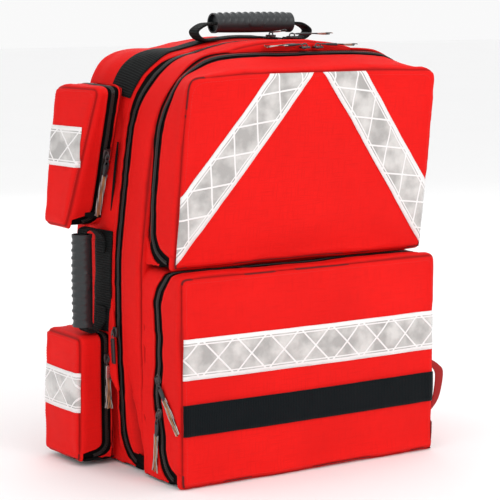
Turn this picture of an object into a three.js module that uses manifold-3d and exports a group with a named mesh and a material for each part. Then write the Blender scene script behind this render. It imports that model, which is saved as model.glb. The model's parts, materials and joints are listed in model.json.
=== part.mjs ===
// A soft rescue backpack: a rear tray that carries the harness, a front lid with two zipped pockets,
// four zipped side pouches, a carrying band with two rubber grips, and the sliders of the zips.
// Millimetres. +X is to the right seen from the front, +Y to the wearer's back, +Z up.
// The origin is on the ground under the middle of the tray.
import * as THREE from "three";
import { ConvexGeometry } from "three/addons/geometries/ConvexGeometry.js";
import { mergeVertices } from "three/addons/utils/BufferGeometryUtils.js";
import Module from "manifold-3d";

const wasm = await Module();
wasm.setup();

// ---------------------------------------------------------------- driving dimensions
const bodyWidth = 374; // across the side walls, at the ground
const bodyHeight = 531; // to the top of the crown
const trayDepth = 110; // outside of the back panel to the main zip
const lidDepth = 58; // main zip to the outside of the lid panel
const bodyWall = 8; // padded walls of the main compartment
const backThickness = 10; // padded back panel
const sideBulge = 7; // how far the filled side walls stand out half way up
const crownRise = 15; // how far the top wall arches
const topCorner = 78; // rounding of the main compartment's upper corners
const groundCorner = 14; // rounding along the ground
const forwardLean = 38; // how far the crown leans forward of the waist

const pocketWidth = 376; // both front pockets, along the lid
const faceWidth = 368; // their faces
const pocketWall = 5;
const upperPocketDepth = 61;
const upperPocketZip = 9; // lid panel to the upper pocket's zip
const upperPocketCorner = 72; // upper corners beside the lid
const lowerPocketHeight = 259;
const lowerPocketDepth = 86;
const lowerPocketZip = 36;
const lowerPocketCorner = 24;
const faceCorner = 18; // corners of a front pocket's face
const pocketLift = 2; // ground to the lower pocket
const pocketGap = 3; // between the two front pockets
const pocketDrop = 11; // the upper pocket's top edge is this far under the crown
const faceDrop = 24; // and its face ends this far lower still

const pouchWidth = 94; // along the tray's side
const lowerPouchHeight = 160;
const upperPouchHeight = 168;
const upperPouchFloor = 62; // the upper pouches narrow towards their floors
const pouchDepth = 51;
const pouchFlare = 3; // a pouch is this much deeper at its floor
const upperPouchTilt = 16; // an upper pouch is this much shallower at its front upper corner
const pouchZip = 15;
const pouchWall = 3;
const pouchCorner = 16;
const lowerPouchBase = 8; // height of the lower pouches' floor
const upperPouchBase = 302;
const pouchRear = 57; // middle of the tray to the rear edge of the pouches

const zipTurn = 52; // radius in which a zip turns forward to its hinge edge
const zipGap = 1; // between the two halves that a zip joins
const hingeGap = 2.5; // room round a pocket's hinge edge
const seam = 0.3; // between pieces that are sewn together
const tapeWidth = 11; // each half of a zip's tape
const tapeStart = 0.8; // zip line to the tape
const tapeThickness = 1.7;

const bandWidth = 40; // carrying band round the tray
const bandThickness = 2;
const bandBehindZip = 13; // zip line to the band's front edge

const gripLength = 116;
const gripRadius = 13.5;
const strapWidth = 21; // webbing through the grips
const strapThickness = 3;
const topPivotHeight = 5; // swing axis above the band
const topRise = 19.5; // swing axis to the middle of the top grip
const topReach = 84; // half the span of the top handle's webbing
const sidePivotHeight = 10;
const sideRise = 20;
const sideReach = 64;
const footTurn = 16; // how far a handle's feet turn in under its loops

const reflectiveWidth = 50;
const reflectiveThickness = 1.2;
const chevronHalfGap = 7; // middle of the face to the foot of each slanting tape, along the top
const chevronSlope = 37.8; // degrees from upright
const lowerTapeHeight = 134; // ground to the lower tape
const loopStripHeight = 66;
const loopStripWidth = 38;

const shelfHeight = 236;
const sheetThickness = 2;
const sheetMargin = 32;

const backPadWidth = 118;
const backPadThickness = 12;
const backPadMiddle = 82;
const backPadLow = 98;
const backPadHigh = 455;

const shoulderWidth = 62;
const shoulderThickness = 12;
const shoulderTop = 462; // height of the upper strap anchors
const shoulderTopX = 52;
const shoulderEndX = 92;
const shoulderEnd = 205; // height of the pads' lower ends
const shoulderBow = 66; // how far the straps stand off the back panel
const anchorX = 136;
const anchorHeight = 40;
const harnessWebbing = 25;

const sliderLength = 12;
const sliderWidth = 9;
const sliderBase = 3;
const sliderLift = 0.5; // slider above the tape
const pinHeight = 5.6; // pull's pin above the slider's underside
const pinRadius = 0.8;
const pullHole = 1.1;
const knuckleRadius = 2.1;
const knuckleWidth = 4.2;
const earThickness = 1.5;
const earRoom = 0.4;
const pullWidth = 8.5;
const pullThickness = 2;

// ---------------------------------------------------------------- places worked out from them
const halfWidth = bodyWidth / 2;
const backFace = trayDepth / 2;
const zipFace = -trayDepth / 2;
const lidFace = zipFace - lidDepth;
const crownEdge = bodyHeight - crownRise;
const shoulder = crownEdge - topCorner;
const waistHeight = pocketLift + lowerPocketHeight + pocketGap / 2; // the upper half leans from here
const leanSlope = forwardLean / (bodyHeight - waistHeight);
const above = bodyHeight + 40; // past everything, upwards
const beyond = bodyWidth; // past everything, sideways, to the front and to the back
const upperPocketBase = pocketLift + lowerPocketHeight + pocketGap;
const upperPocketHeight = bodyHeight - pocketDrop - upperPocketBase;
const bandFront = zipFace + bandBehindZip;
const bandMiddle = bandFront + bandWidth / 2;
const bandOutside = seam + bandThickness;

const leanAt = (z) => -leanSlope * Math.max(0, z - waistHeight);

// Carries a piece that is wholly above the waist forward with the lean.
const lean = new THREE.Matrix4().set(
  1, 0, 0, 0,
  0, 1, -leanSlope, leanSlope * waistHeight,
  0, 0, 1, 0,
  0, 0, 0, 1,
);

// Half the width of the main compartment at a height, `grow` outside its walls.
const sideAt = (z, grow = 0) => {
  const low = groundCorner;
  const t = THREE.MathUtils.clamp((z - low) / (shoulder - low), 0, 1);
  return halfWidth + grow + 4 * sideBulge * t * (1 - t);
};
const crownAt = (x) => crownEdge + crownRise * (1 - (x / (halfWidth - topCorner)) ** 2);

// ---------------------------------------------------------------- solids
function solid(geometry) {
  const bare = geometry.index ? geometry.toNonIndexed() : geometry.clone();
  bare.deleteAttribute("normal");
  bare.deleteAttribute("uv");
  const merged = mergeVertices(bare, 1e-4);
  const triVerts = new Uint32Array(merged.index.array);
  const vertProperties = merged.attributes.position.array;
  return new wasm.Manifold(new wasm.Mesh({ numProp: 3, vertProperties, triVerts }));
}

function geometryOf(manifold) {
  const mesh = manifold.getMesh();
  const geometry = new THREE.BufferGeometry();
  geometry.setAttribute("position", new THREE.BufferAttribute(mesh.vertProperties, 3));
  geometry.setIndex(new THREE.BufferAttribute(mesh.triVerts, 1));
  return geometry;
}

const extrude = (shape, depth) =>
  new THREE.ExtrudeGeometry(shape, { depth, bevelEnabled: false, curveSegments: 5 });

// A shape drawn in X and Z, from yFront to yBack.
const alongY = (shape, yFront, yBack) =>
  solid(extrude(shape, yBack - yFront).rotateX(Math.PI / 2).translate(0, yBack, 0));

const acrossX = new THREE.Matrix4().makeBasis(
  new THREE.Vector3(0, 1, 0),
  new THREE.Vector3(0, 0, 1),
  new THREE.Vector3(1, 0, 0),
);

// A shape drawn in Y and Z, from xLeft to xRight.
const alongX = (shape, xLeft, xRight) =>
  solid(extrude(shape, xRight - xLeft).applyMatrix4(acrossX).translate(xLeft, 0, 0));

const polygon = (points) => new THREE.Shape(points.map(([a, b]) => new THREE.Vector2(a, b)));
const across = (points) => alongX(polygon(points), -beyond, beyond);
const box = (x0, x1, y0, y1, z0, z1) =>
  solid(new THREE.BoxGeometry(x1 - x0, y1 - y0, z1 - z0)
    .translate((x0 + x1) / 2, (y0 + y1) / 2, (z0 + z1) / 2));
const aboveHeight = (z) => box(-beyond, beyond, -beyond, beyond, z, above);

// The main compartment seen from the front, `grow` outside its walls.
function domeShape(grow = 0) {
  const half = halfWidth + grow;
  const low = -grow;
  const inner = halfWidth - topCorner;
  const edge = crownEdge + grow;
  const middle = (groundCorner + shoulder) / 2;
  const bow = half + 2 * sideBulge;
  const s = new THREE.Shape();
  s.moveTo(-half + groundCorner, low);
  s.lineTo(half - groundCorner, low);
  s.quadraticCurveTo(half, low, half, groundCorner);
  s.quadraticCurveTo(bow, middle, half, shoulder);
  s.quadraticCurveTo(half, edge, inner, edge);
  s.quadraticCurveTo(0, edge + 2 * crownRise, -inner, edge);
  s.quadraticCurveTo(-half, edge, -half, shoulder);
  s.quadraticCurveTo(-bow, middle, -half, groundCorner);
  s.quadraticCurveTo(-half, low, -half + groundCorner, low);
  return s;
}

const dome = (grow) => alongY(domeShape(grow), -beyond, beyond);
const domeWall = (outer, inner) => dome(outer).subtract(dome(inner));

// Everything between two upright faces that lean forward above the waist.
const slab = (yFront, yBack) =>
  across([
    [yFront, -20],
    [yBack, -20],
    [yBack, waistHeight],
    [yBack + leanAt(above), above],
    [yFront + leanAt(above), above],
    [yFront, waistHeight],
  ]);

// Points of a zip line from the top down, moved off the line by `off`; then it turns out to its hinge edge.
function zipLine({ at, top, bends = [], turn, out, floor }, off) {
  const from = new THREE.Vector2(at - off, floor + turn);
  const corner = new THREE.Vector2(at - off, floor - off);
  const to = new THREE.Vector2(out, floor - off);
  const curve = new THREE.QuadraticBezierCurve(from, corner, to);
  return [
    [at - off + (bends.length ? bends[0] : 0), top],
    ...(bends.length ? [[at - off, bends[1]]] : []),
    ...curve.getPoints(6).map((p) => [p.x, p.y]),
  ];
}

// ---------------------------------------------------------------- scene graph helpers
const cloth = (color) => new THREE.MeshStandardMaterial({ color, roughness: 0.85, metalness: 0 });
const materials = {
  redCordura: cloth(0xd8130f),
  blackWebbing: cloth(0x15181a),
  baseCloth: cloth(0x1b1d1e),
  zipTape: cloth(0x121212),
  padMesh: cloth(0x22262a),
  lining: cloth(0x9d1512),
  loopTape: cloth(0x0d1416),
  reflective: new THREE.MeshStandardMaterial({ color: 0xd9d6d2, roughness: 0.35, metalness: 0 }),
  gripRubber: new THREE.MeshStandardMaterial({ color: 0x16191a, roughness: 0.55, metalness: 0 }),
  blackPlastic: new THREE.MeshStandardMaterial({ color: 0x101213, roughness: 0.4, metalness: 0 }),
  sliderMetal: new THREE.MeshStandardMaterial({ color: 0x2a2a2c, roughness: 0.35, metalness: 0.9 }),
  pullCord: cloth(0x4a4338),
};

const backpack = new THREE.Group();
const parts = {};

function add(name, shape, material, parent = backpack) {
  const geometry = shape.isBufferGeometry ? shape : geometryOf(shape);
  const mesh = new THREE.Mesh(geometry, material);
  mesh.name = name;
  parent.add(mesh);
  parts[name] = mesh;
  return mesh;
}

// ---------------------------------------------------------------- main compartment
const mainZip = {
  at: -zipFace,
  top: above,
  bends: [-leanAt(above), waistHeight],
  turn: zipTurn,
  out: -(lidFace + bodyWall),
  floor: bodyWall + 1,
};
// The zip line's first number runs forward; the profiles here run backward.
const mainLine = (off) => zipLine(mainZip, off).map(([forward, z]) => [-forward, z]);

const behindZip = (off = zipGap / 2) => {
  const line = mainLine(off);
  const end = line[line.length - 1];
  return across([...line, [end[0], -20], [beyond, -20], [beyond, above]].reverse());
};
const beforeZip = (off = zipGap / 2) => {
  const line = mainLine(-off);
  const end = line[line.length - 1];
  return across([...line, [-beyond, end[1]], [-beyond, above]]);
};
const alongZip = (from, to) => across([...mainLine(from), ...mainLine(to).reverse()]);

const trayRegion = behindZip();
const lidRegion = beforeZip();
const bodyShell = domeWall(0, -bodyWall);
const innerBack = backFace - backThickness;

add("back_panel", dome(0).intersect(slab(innerBack, backFace)), materials.redCordura);
add("tray_gusset",
  bodyShell.intersect(trayRegion).intersect(slab(-beyond, innerBack - seam))
    .intersect(aboveHeight(bodyWall + seam)),
  materials.redCordura);
add("tray_base",
  dome(0).intersect(trayRegion).intersect(slab(-beyond, innerBack - seam))
    .subtract(aboveHeight(bodyWall)),
  materials.baseCloth);
add("frame_sheet",
  dome(-sheetMargin).intersect(slab(innerBack - seam - sheetThickness, innerBack - seam)),
  materials.blackPlastic);

const shelfHalf = sideAt(shelfHeight, -bodyWall) - 1;
add("divider_shelf",
  box(-shelfHalf, shelfHalf, zipFace + bodyWall, innerBack - 2 * seam - sheetThickness - 1,
    shelfHeight, shelfHeight + bodyWall),
  materials.lining);

const tapeRing = domeWall(seam + tapeThickness, seam).intersect(aboveHeight(bodyWall + 2));
add("main_zip_rear_tape", tapeRing.intersect(alongZip(tapeStart, tapeWidth)), materials.zipTape);
add("carry_band",
  domeWall(bandOutside, seam).intersect(aboveHeight(bodyWall + 2))
    .intersect(slab(bandFront, bandFront + bandWidth)),
  materials.blackWebbing);

// ---------------------------------------------------------------- lid
add("lid_panel",
  dome(0).intersect(slab(lidFace, lidFace + bodyWall)).intersect(aboveHeight(bodyWall + 1)),
  materials.redCordura);
add("lid_gusset",
  bodyShell.intersect(lidRegion).intersect(slab(lidFace + bodyWall + seam, beyond))
    .intersect(aboveHeight(bodyWall + 1)),
  materials.redCordura);
add("main_zip_front_tape", tapeRing.intersect(alongZip(-tapeWidth, -tapeStart)), materials.zipTape);

// ---------------------------------------------------------------- pockets and pouches
// A rounded outline in a pocket's own frame: x across, y up from its floor, z outwards from its back.
// `slant` widens it upwards on its front side only, and `front` is that side's sign.
function ringAt({ width, low, high, lowCorner, highCorner, slant = 0, front = 1 }, outAt) {
  const half = width / 2;
  const s = new THREE.Shape();
  s.moveTo(-half + lowCorner, low);
  s.lineTo(half - lowCorner, low);
  s.quadraticCurveTo(half, low, half, low + lowCorner);
  s.lineTo(half, high - highCorner);
  s.quadraticCurveTo(half, high, half - highCorner, high);
  s.lineTo(-half + highCorner, high);
  s.quadraticCurveTo(-half, high, -half, high - highCorner);
  s.lineTo(-half, low + lowCorner);
  s.quadraticCurveTo(-half, low, -half + lowCorner, low);
  return s.getPoints(5).map((p) => {
    const forward = 0.5 + (front * p.x) / width;
    const rise = p.y / high;
    return new THREE.Vector3(p.x + front * slant * forward * rise, p.y, outAt(rise, forward));
  });
}

const grown = (ring, by) => ({
  ...ring,
  width: ring.width + 2 * by,
  low: ring.low - by,
  high: ring.high + by,
  lowCorner: Math.max(1, ring.lowCorner + by),
  highCorner: Math.max(1, ring.highCorner + by),
});

const hull = (...rings) => solid(new ConvexGeometry(rings.flat()));

// A shape drawn outwards and up, right across a pocket.
const acrossPocket = (points) =>
  solid(extrude(polygon(points), 2 * beyond).rotateY(-Math.PI / 2).translate(beyond, 0, 0));

// A pocket's fixed half and its flap, which opens about the outer edge of the pocket's floor.
function pocket({ back, face, depth, flare = 0, tilt = 0, zip, wall, backWall = 0, turn }) {
  const outAt = (rise, forward) => depth + flare * (1 - rise) - tilt * rise * forward;
  const floorDepth = outAt(0, 0);
  const outer = hull(ringAt(back, () => 0), ringAt(face, outAt));
  const inner = hull(
    ringAt(grown(back, -wall), () => backWall || -1),
    ringAt(grown(face, -wall), (rise, forward) => outAt(rise, forward) - wall),
  );
  const shell = outer.subtract(inner);
  const line = { at: zip, top: above, turn, out: floorDepth - wall - hingeGap, floor: wall + 1 };
  const flapLine = { ...line, out: floorDepth - wall - zipGap / 2 };
  const fixed = acrossPocket([...zipLine(line, zipGap / 2), [line.out, -20], [-20, -20], [-20, above]]);
  const flap = acrossPocket(
    [...zipLine(flapLine, -zipGap / 2), [flapLine.out, -20], [beyond, -20], [beyond, above]].reverse(),
  );
  return { fixed: shell.intersect(fixed), flap: shell.intersect(flap) };
}

const inward = (turn) => new THREE.Matrix4().makeRotationZ(turn);
const frontFrame = new THREE.Matrix4().makeRotationX(Math.PI / 2);
const leftFrame = inward(-Math.PI / 2).multiply(frontFrame);
const rightFrame = inward(Math.PI / 2).multiply(frontFrame);
const placed = (frame, x, y, z) => new THREE.Matrix4().makeTranslation(x, y, z).multiply(frame);
const carried = (manifold, ...matrices) => {
  const geometry = geometryOf(manifold);
  matrices.forEach((m) => geometry.applyMatrix4(m));
  return geometry;
};

// Upper front pocket
const upperBack = {
  width: pocketWidth,
  low: 0,
  high: upperPocketHeight,
  lowCorner: 3,
  highCorner: upperPocketCorner,
};
const upperFace = {
  ...upperBack,
  width: faceWidth,
  high: upperPocketHeight - faceDrop,
  highCorner: faceCorner,
};
const upperPocket = pocket({
  back: upperBack,
  face: upperFace,
  depth: upperPocketDepth,
  zip: upperPocketZip,
  wall: pocketWall,
  turn: zipTurn,
});
const upperPlace = placed(frontFrame, 0, lidFace - seam, upperPocketBase);
add("upper_pocket_frame", carried(upperPocket.fixed, upperPlace, lean), materials.redCordura);
add("upper_flap", carried(upperPocket.flap, upperPlace, lean), materials.redCordura);

// Lower front pocket
const lowerBack = {
  width: pocketWidth,
  low: 0,
  high: lowerPocketHeight,
  lowCorner: 6,
  highCorner: lowerPocketCorner,
};
const lowerFace = {
  ...lowerBack,
  width: faceWidth,
  high: lowerPocketHeight - 5,
  highCorner: faceCorner / 2,
};
const lowerPocket = pocket({
  back: lowerBack,
  face: lowerFace,
  depth: lowerPocketDepth,
  zip: lowerPocketZip,
  wall: pocketWall,
  turn: zipTurn,
});
const lowerPlace = placed(frontFrame, 0, lidFace - seam, pocketLift);
add("lower_pocket_frame", carried(lowerPocket.fixed, lowerPlace), materials.redCordura);
add("lower_flap", carried(lowerPocket.flap, lowerPlace), materials.redCordura);

// Tapes on the faces: shapes across and up, laid on the outside of a face and cut to its outline.
function onFace(face, depth, points) {
  const cutRing = grown(face, -1);
  const outline = hull(
    ringAt(cutRing, () => depth + seam),
    ringAt(cutRing, () => depth + seam + reflectiveThickness),
  );
  const strip = solid(extrude(polygon(points), reflectiveThickness * 3).translate(0, 0, depth));
  return strip.intersect(outline);
}
const slope = THREE.MathUtils.degToRad(chevronSlope);
const chevronAlongTop = reflectiveWidth / Math.cos(slope);
const chevronDrop = upperFace.high * Math.tan(slope);
const chevron = (side) => {
  const points = [
    [side * chevronHalfGap, upperFace.high],
    [side * (chevronHalfGap + chevronDrop), 0],
    [side * (chevronHalfGap + chevronDrop + chevronAlongTop), 0],
    [side * (chevronHalfGap + chevronAlongTop), upperFace.high],
  ];
  return side > 0 ? points.reverse() : points;
};
add("reflective_tape_left",
  carried(onFace(upperFace, upperPocketDepth, chevron(-1)), upperPlace, lean),
  materials.reflective);
add("reflective_tape_right",
  carried(onFace(upperFace, upperPocketDepth, chevron(1)), upperPlace, lean),
  materials.reflective);

const level = (low, width) => {
  const from = low - pocketLift;
  return [[-beyond, from], [beyond, from], [beyond, from + width], [-beyond, from + width]];
};
add("reflective_tape_lower",
  carried(onFace(lowerFace, lowerPocketDepth, level(lowerTapeHeight, reflectiveWidth)), lowerPlace),
  materials.reflective);
add("name_loop_strip",
  carried(onFace(lowerFace, lowerPocketDepth, level(loopStripHeight, loopStripWidth)), lowerPlace),
  materials.loopTape);

// Side pouches, against the bulging side walls and over the carrying band
const bodyAndBand = dome(bandOutside + seam);
const sides = [
  { side: "left", frame: leftFrame, sign: -1 },
  { side: "right", frame: rightFrame, sign: 1 },
];
const pouchSizes = [
  { tier: "upper", base: upperPouchBase, high: upperPouchHeight, width: upperPouchFloor,
    tilt: upperPouchTilt, matrices: [lean] },
  { tier: "lower", base: lowerPouchBase, high: lowerPouchHeight, width: pouchWidth,
    tilt: 0, matrices: [] },
];
for (const { side, frame, sign } of sides) {
  for (const { tier, base, high, width, tilt, matrices } of pouchSizes) {
    const back = {
      width,
      low: 0,
      high,
      lowCorner: 6,
      highCorner: pouchCorner,
      slant: pouchWidth - width,
      front: -sign,
    };
    const { fixed, flap } = pocket({
      back,
      face: { ...back, width: width - 6, high: high - 5, highCorner: 10 },
      depth: pouchDepth,
      flare: pouchFlare,
      tilt,
      zip: pouchZip,
      wall: pouchWall,
      backWall: sideBulge + bandOutside + pouchWall,
      turn: zipTurn * 0.6,
    });
    const place = placed(frame, sign * halfWidth, pouchRear - width / 2, base);
    const tray = solid(carried(fixed, place, ...matrices)).subtract(bodyAndBand);
    add(`pouch_${tier}_${side}_tray`, tray, materials.redCordura);
    add(`pouch_${tier}_${side}_flap`, carried(flap, place, ...matrices), materials.redCordura);
  }
}

// ---------------------------------------------------------------- handles
// A strap's outline: a line through points, with half its thickness to each side.
function strapShape(points, thickness, steps) {
  const line = new THREE.SplineCurve(points.map(([a, b]) => new THREE.Vector2(a, b)));
  const left = [];
  const right = [];
  for (let i = 0; i <= steps; i += 1) {
    const p = line.getPoint(i / steps);
    const t = line.getTangent(i / steps);
    left.push([p.x - (t.y * thickness) / 2, p.y + (t.x * thickness) / 2]);
    right.push([p.x + (t.y * thickness) / 2, p.y - (t.x * thickness) / 2]);
  }
  return polygon([...right, ...left.reverse()]);
}

// A handle in its own frame: x along the grip, y across, z up from its swing axis.
function handle(name, rise, reach) {
  const group = new THREE.Group();
  const half = [
    [gripLength / 2 - 18, rise],
    [gripLength / 2, rise - 0.5],
    [(reach + gripLength / 2) / 2 + 2, rise * 0.86],
    [reach, rise * 0.5],
    [reach - 4, rise * 0.18],
    [reach - footTurn, 0],
  ];
  const points = [...half.map(([u, v]) => [-u, v]).reverse(), ...half];
  const webbing = solid(
    extrude(strapShape(points, strapThickness, 36), strapWidth)
      .rotateX(Math.PI / 2).translate(0, strapWidth / 2, 0),
  );
  add(`${name}_handle_webbing`, webbing, materials.blackWebbing, group);
  const section = new THREE.Shape().absarc(0, rise, gripRadius, 0, 2 * Math.PI);
  const room = strapThickness / 2 + 0.6;
  const passage = solid(new THREE.BoxGeometry(gripLength + 2, strapWidth + 1.2, 2 * room)
    .translate(0, 0, rise));
  const bar = solid(
    new THREE.ExtrudeGeometry(section, { depth: gripLength, bevelEnabled: false, curveSegments: 18 })
      .applyMatrix4(acrossX).translate(-gripLength / 2, 0, 0),
  );
  add(`${name}_grip`, bar.subtract(passage), materials.gripRubber, group);
  return group;
}

const topPivotZ = crownAt(topReach - footTurn) + bandOutside + topPivotHeight;
const topHandle = handle("top", topRise, topReach);
topHandle.position.set(0, bandMiddle + leanAt(bodyHeight), topPivotZ);
backpack.add(topHandle);

const sideMiddle = (lowerPouchBase + lowerPouchHeight + upperPouchBase) / 2;
const sideHandle = handle("side", sideRise, sideReach);
sideHandle.rotation.set(0, -Math.PI / 2, 0);
const sidePivotX = -(sideAt(sideMiddle) + bandOutside + sidePivotHeight);
sideHandle.position.set(sidePivotX, bandMiddle, sideMiddle);
backpack.add(sideHandle);

// ---------------------------------------------------------------- harness
const harnessStart = backFace + seam;
for (const { side, sign } of sides) {
  const middle = sign * backPadMiddle;
  const outline = new THREE.Shape();
  const half = backPadWidth / 2;
  outline.moveTo(middle - half, backPadLow);
  outline.lineTo(middle + half, backPadLow);
  outline.lineTo(middle + half, backPadHigh);
  outline.lineTo(middle - half, backPadHigh);
  add(`back_pad_${side}`,
    alongY(outline, -beyond, beyond)
      .intersect(slab(harnessStart, harnessStart + backPadThickness)),
    materials.padMesh);
}

// Shoulder straps bow out from the back: drawn in Y and Z, then slanted sideways as they go down.
const padFace = backFace + backPadThickness + 2 * seam;
const strapStart = padFace + leanAt(shoulderTop) + 12;
const padEnd = padFace + shoulderBow - 14;
const slant = (fromX, fromZ, toX, toZ, sign) => {
  const k = (toX - fromX) / (toZ - fromZ);
  return new THREE.Matrix4().set(
    1, 0, sign * k, sign * (fromX - k * fromZ),
    0, 1, 0, 0,
    0, 0, 1, 0,
    0, 0, 0, 1,
  );
};
for (const { side, sign } of sides) {
  const padLine = [
    [strapStart, shoulderTop],
    [padFace + shoulderBow * 0.62, shoulderTop - 42],
    [padFace + shoulderBow, (shoulderTop + shoulderEnd) / 2 + 10],
    [padEnd, shoulderEnd],
  ];
  const lower = slant(shoulderTopX, shoulderTop, shoulderEndX, shoulderEnd, sign);
  const pad = alongX(strapShape(padLine, shoulderThickness, 12), -shoulderWidth / 2, shoulderWidth / 2);
  const neck = polygon([
    [-shoulderWidth, 0],
    [shoulderWidth, 0],
    [shoulderWidth / 2, shoulderTop - 84],
    [12, shoulderTop - 10],
    [12, shoulderTop + 20],
    [-12, shoulderTop + 20],
    [-12, shoulderTop - 10],
    [-shoulderWidth / 2, shoulderTop - 84],
  ]);
  add(`shoulder_pad_${side}`, carried(pad.intersect(alongY(neck, -beyond, beyond)), lower), materials.padMesh);

  const lockHigh = shoulderEnd - 3;
  const lockLow = lockHigh - 34;
  const lockY = padEnd - 3;
  const lock = new THREE.Group();
  const plate = new THREE.Shape();
  plate.moveTo(-19, 0);
  plate.lineTo(19, 0);
  plate.lineTo(17, 34);
  plate.lineTo(-17, 34);
  for (const [low, high] of [[5, 10], [15, 20], [24, 29]]) {
    const window = new THREE.Path();
    window.moveTo(-13, low);
    window.lineTo(-13, high);
    window.lineTo(13, high);
    window.lineTo(13, low);
    plate.holes.push(window);
  }
  add(`ladder_lock_${side}`,
    extrude(plate, 5).rotateX(Math.PI / 2), materials.blackPlastic, lock);
  lock.position.set(sign * (shoulderEndX + 5), lockY + 2, lockLow);
  backpack.add(lock);

  const webLine = [
    [lockY - 4, lockLow - 2],
    [padFace + shoulderBow * 0.42, (lockLow + anchorHeight) / 2],
    [backFace + 9, anchorHeight],
  ];
  const web = alongX(strapShape(webLine, strapThickness, 8), -harnessWebbing / 2, harnessWebbing / 2);
  const lowerSlant = slant(shoulderEndX + 5, lockLow, anchorX, anchorHeight, sign);
  add(`strap_webbing_${side}`, carried(web, lowerSlant), materials.blackWebbing);
}

// ---------------------------------------------------------------- sliders and pulls
// In a slider's own frame: x along the zip, y across it, z off the cloth; the pull lies towards -x.
function sliderSolid() {
  const low = sliderLift;
  const body = solid(new THREE.BoxGeometry(sliderLength, sliderWidth, sliderBase)
    .translate(0, 0, low + sliderBase / 2));
  const earOut = knuckleWidth / 2 + earRoom;
  const earHeight = pinHeight + 1.6 - sliderBase;
  let made = body;
  for (const e of [-1, 1]) {
    const ear = solid(new THREE.BoxGeometry(5, earThickness, earHeight + 1)
      .translate(0, e * (earOut + earThickness / 2), low + sliderBase + earHeight / 2 - 0.5));
    made = made.add(ear);
  }
  const pin = solid(new THREE.CylinderGeometry(pinRadius, pinRadius, 2 * earOut + 1, 8)
    .translate(0, 0, low + pinHeight));
  return made.add(pin);
}

function pullSolid(length) {
  const ring = new THREE.Shape().absarc(0, 0, knuckleRadius, 0, 2 * Math.PI);
  ring.holes.push(new THREE.Path().absarc(0, 0, pullHole, 0, 2 * Math.PI, true));
  const knuckle = solid(
    new THREE.ExtrudeGeometry(ring, { depth: knuckleWidth, bevelEnabled: false, curveSegments: 12 })
      .rotateX(Math.PI / 2).translate(0, knuckleWidth / 2, 0),
  );
  const neckEnd = sliderLength / 2 + 2;
  const neck = solid(new THREE.BoxGeometry(neckEnd - pullHole - 0.4, knuckleWidth, pullThickness)
    .translate(-(neckEnd + pullHole + 0.4) / 2, 0, 0));
  const tag = solid(new THREE.BoxGeometry(length - neckEnd, pullWidth, pullThickness)
    .translate(-(length + neckEnd) / 2 + 0.5, 0, 0));
  return knuckle.add(neck).add(tag);
}

// A slider at a place, its zip along `along`, its back to the cloth against `off`; the pull turned
// in the plane of the cloth by `turn`, and tipped down to it by `tip`, in degrees.
function zipSlider({ name, place, along, off, turn = 0, tip = 2.5, length }) {
  const x = new THREE.Vector3(...along).normalize();
  const z = new THREE.Vector3(...off).normalize();
  const y = new THREE.Vector3().crossVectors(z, x);
  const group = new THREE.Group();
  const basis = new THREE.Matrix4().makeBasis(x, y, z);
  group.quaternion.setFromRotationMatrix(basis);
  group.position.set(...place);
  const swivel = new THREE.Group();
  swivel.rotation.z = THREE.MathUtils.degToRad(turn);
  group.add(swivel);
  add(`${name}_slider`, sliderSolid(), materials.sliderMetal, swivel);
  const pull = new THREE.Group();
  pull.position.z = sliderLift + pinHeight;
  pull.rotation.y = THREE.MathUtils.degToRad(-tip);
  swivel.add(pull);
  add(`${name}_pull`, pullSolid(length), materials.pullCord, pull);
  backpack.add(group);
}

const tapeTop = seam + tapeThickness;
const crownLean = leanAt(bodyHeight);
const upperZipY = lidFace - seam - upperPocketZip;
const lowerZipY = lidFace - seam - lowerPocketZip;
const upperPocketTop = upperPocketBase + upperPocketHeight;
const lowerSide = pocketWidth / 2;

zipSlider({
  name: "main_top_left",
  place: [8, zipFace + crownLean, crownAt(8) + tapeTop],
  along: [0, 1, 0],
  off: [0, 0, 1],
  tip: -6,
  length: 34,
});
zipSlider({
  name: "main_top_right",
  place: [40, zipFace + crownLean, crownAt(40) + tapeTop],
  along: [-1, 0, 0],
  off: [0, 0, 1],
  tip: 1,
  length: 62,
});
zipSlider({
  name: "main_side",
  place: [-(sideAt(172) + tapeTop), zipFace, 172],
  along: [0, 0, 1],
  off: [-1, 0, 0],
  length: 40,
});
zipSlider({
  name: "upper_left",
  place: [14, upperZipY + leanAt(upperPocketTop), upperPocketTop],
  along: [1, 0, 0],
  off: [0, 0, 1],
  length: 58,
});
zipSlider({
  name: "upper_right",
  place: [34, upperZipY + leanAt(upperPocketTop), upperPocketTop],
  along: [-1, 0, 0],
  off: [0, 0, 1],
  length: 58,
});
zipSlider({
  name: "lower_high",
  place: [-lowerSide, lowerZipY, 128],
  along: [0, 0, 1],
  off: [-1, 0, 0],
  turn: 38,
  length: 76,
});
zipSlider({
  name: "lower_low",
  place: [-lowerSide, lowerZipY - 2, 86],
  along: [0, 0, 1],
  off: [-1, 0, 0],
  turn: -8,
  length: 76,
});
for (const { side, sign } of sides) {
  const zipX = sign * (halfWidth + pouchZip);
  const upperRise = 0.55;
  const upperZ = upperPouchBase + upperRise * upperPouchHeight;
  const upperFront = pouchRear - upperPouchFloor - upperRise * (pouchWidth - upperPouchFloor);
  const slope = (pouchWidth - upperPouchFloor) / upperPouchHeight + leanSlope;
  zipSlider({
    name: `pouch_upper_${side}`,
    place: [zipX, upperFront + leanAt(upperZ) + 1, upperZ],
    along: [0, -slope, 1],
    off: [0, -1, -slope],
    length: 84,
  });
  zipSlider({
    name: `pouch_lower_${side}`,
    place: [zipX, pouchRear - pouchWidth + 1, 136],
    along: [0, 0, 1],
    off: [0, -1, 0],
    length: 64,
  });
}

export default backpack;
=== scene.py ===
"""A soft red rescue backpack: sewn shells of coated cloth, coil zips, reflective tapes, grips and harness.

Sizes in the code are millimetres. +X is right seen from the front, -Y the front, +Z up.
"""
import json
import math

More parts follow.
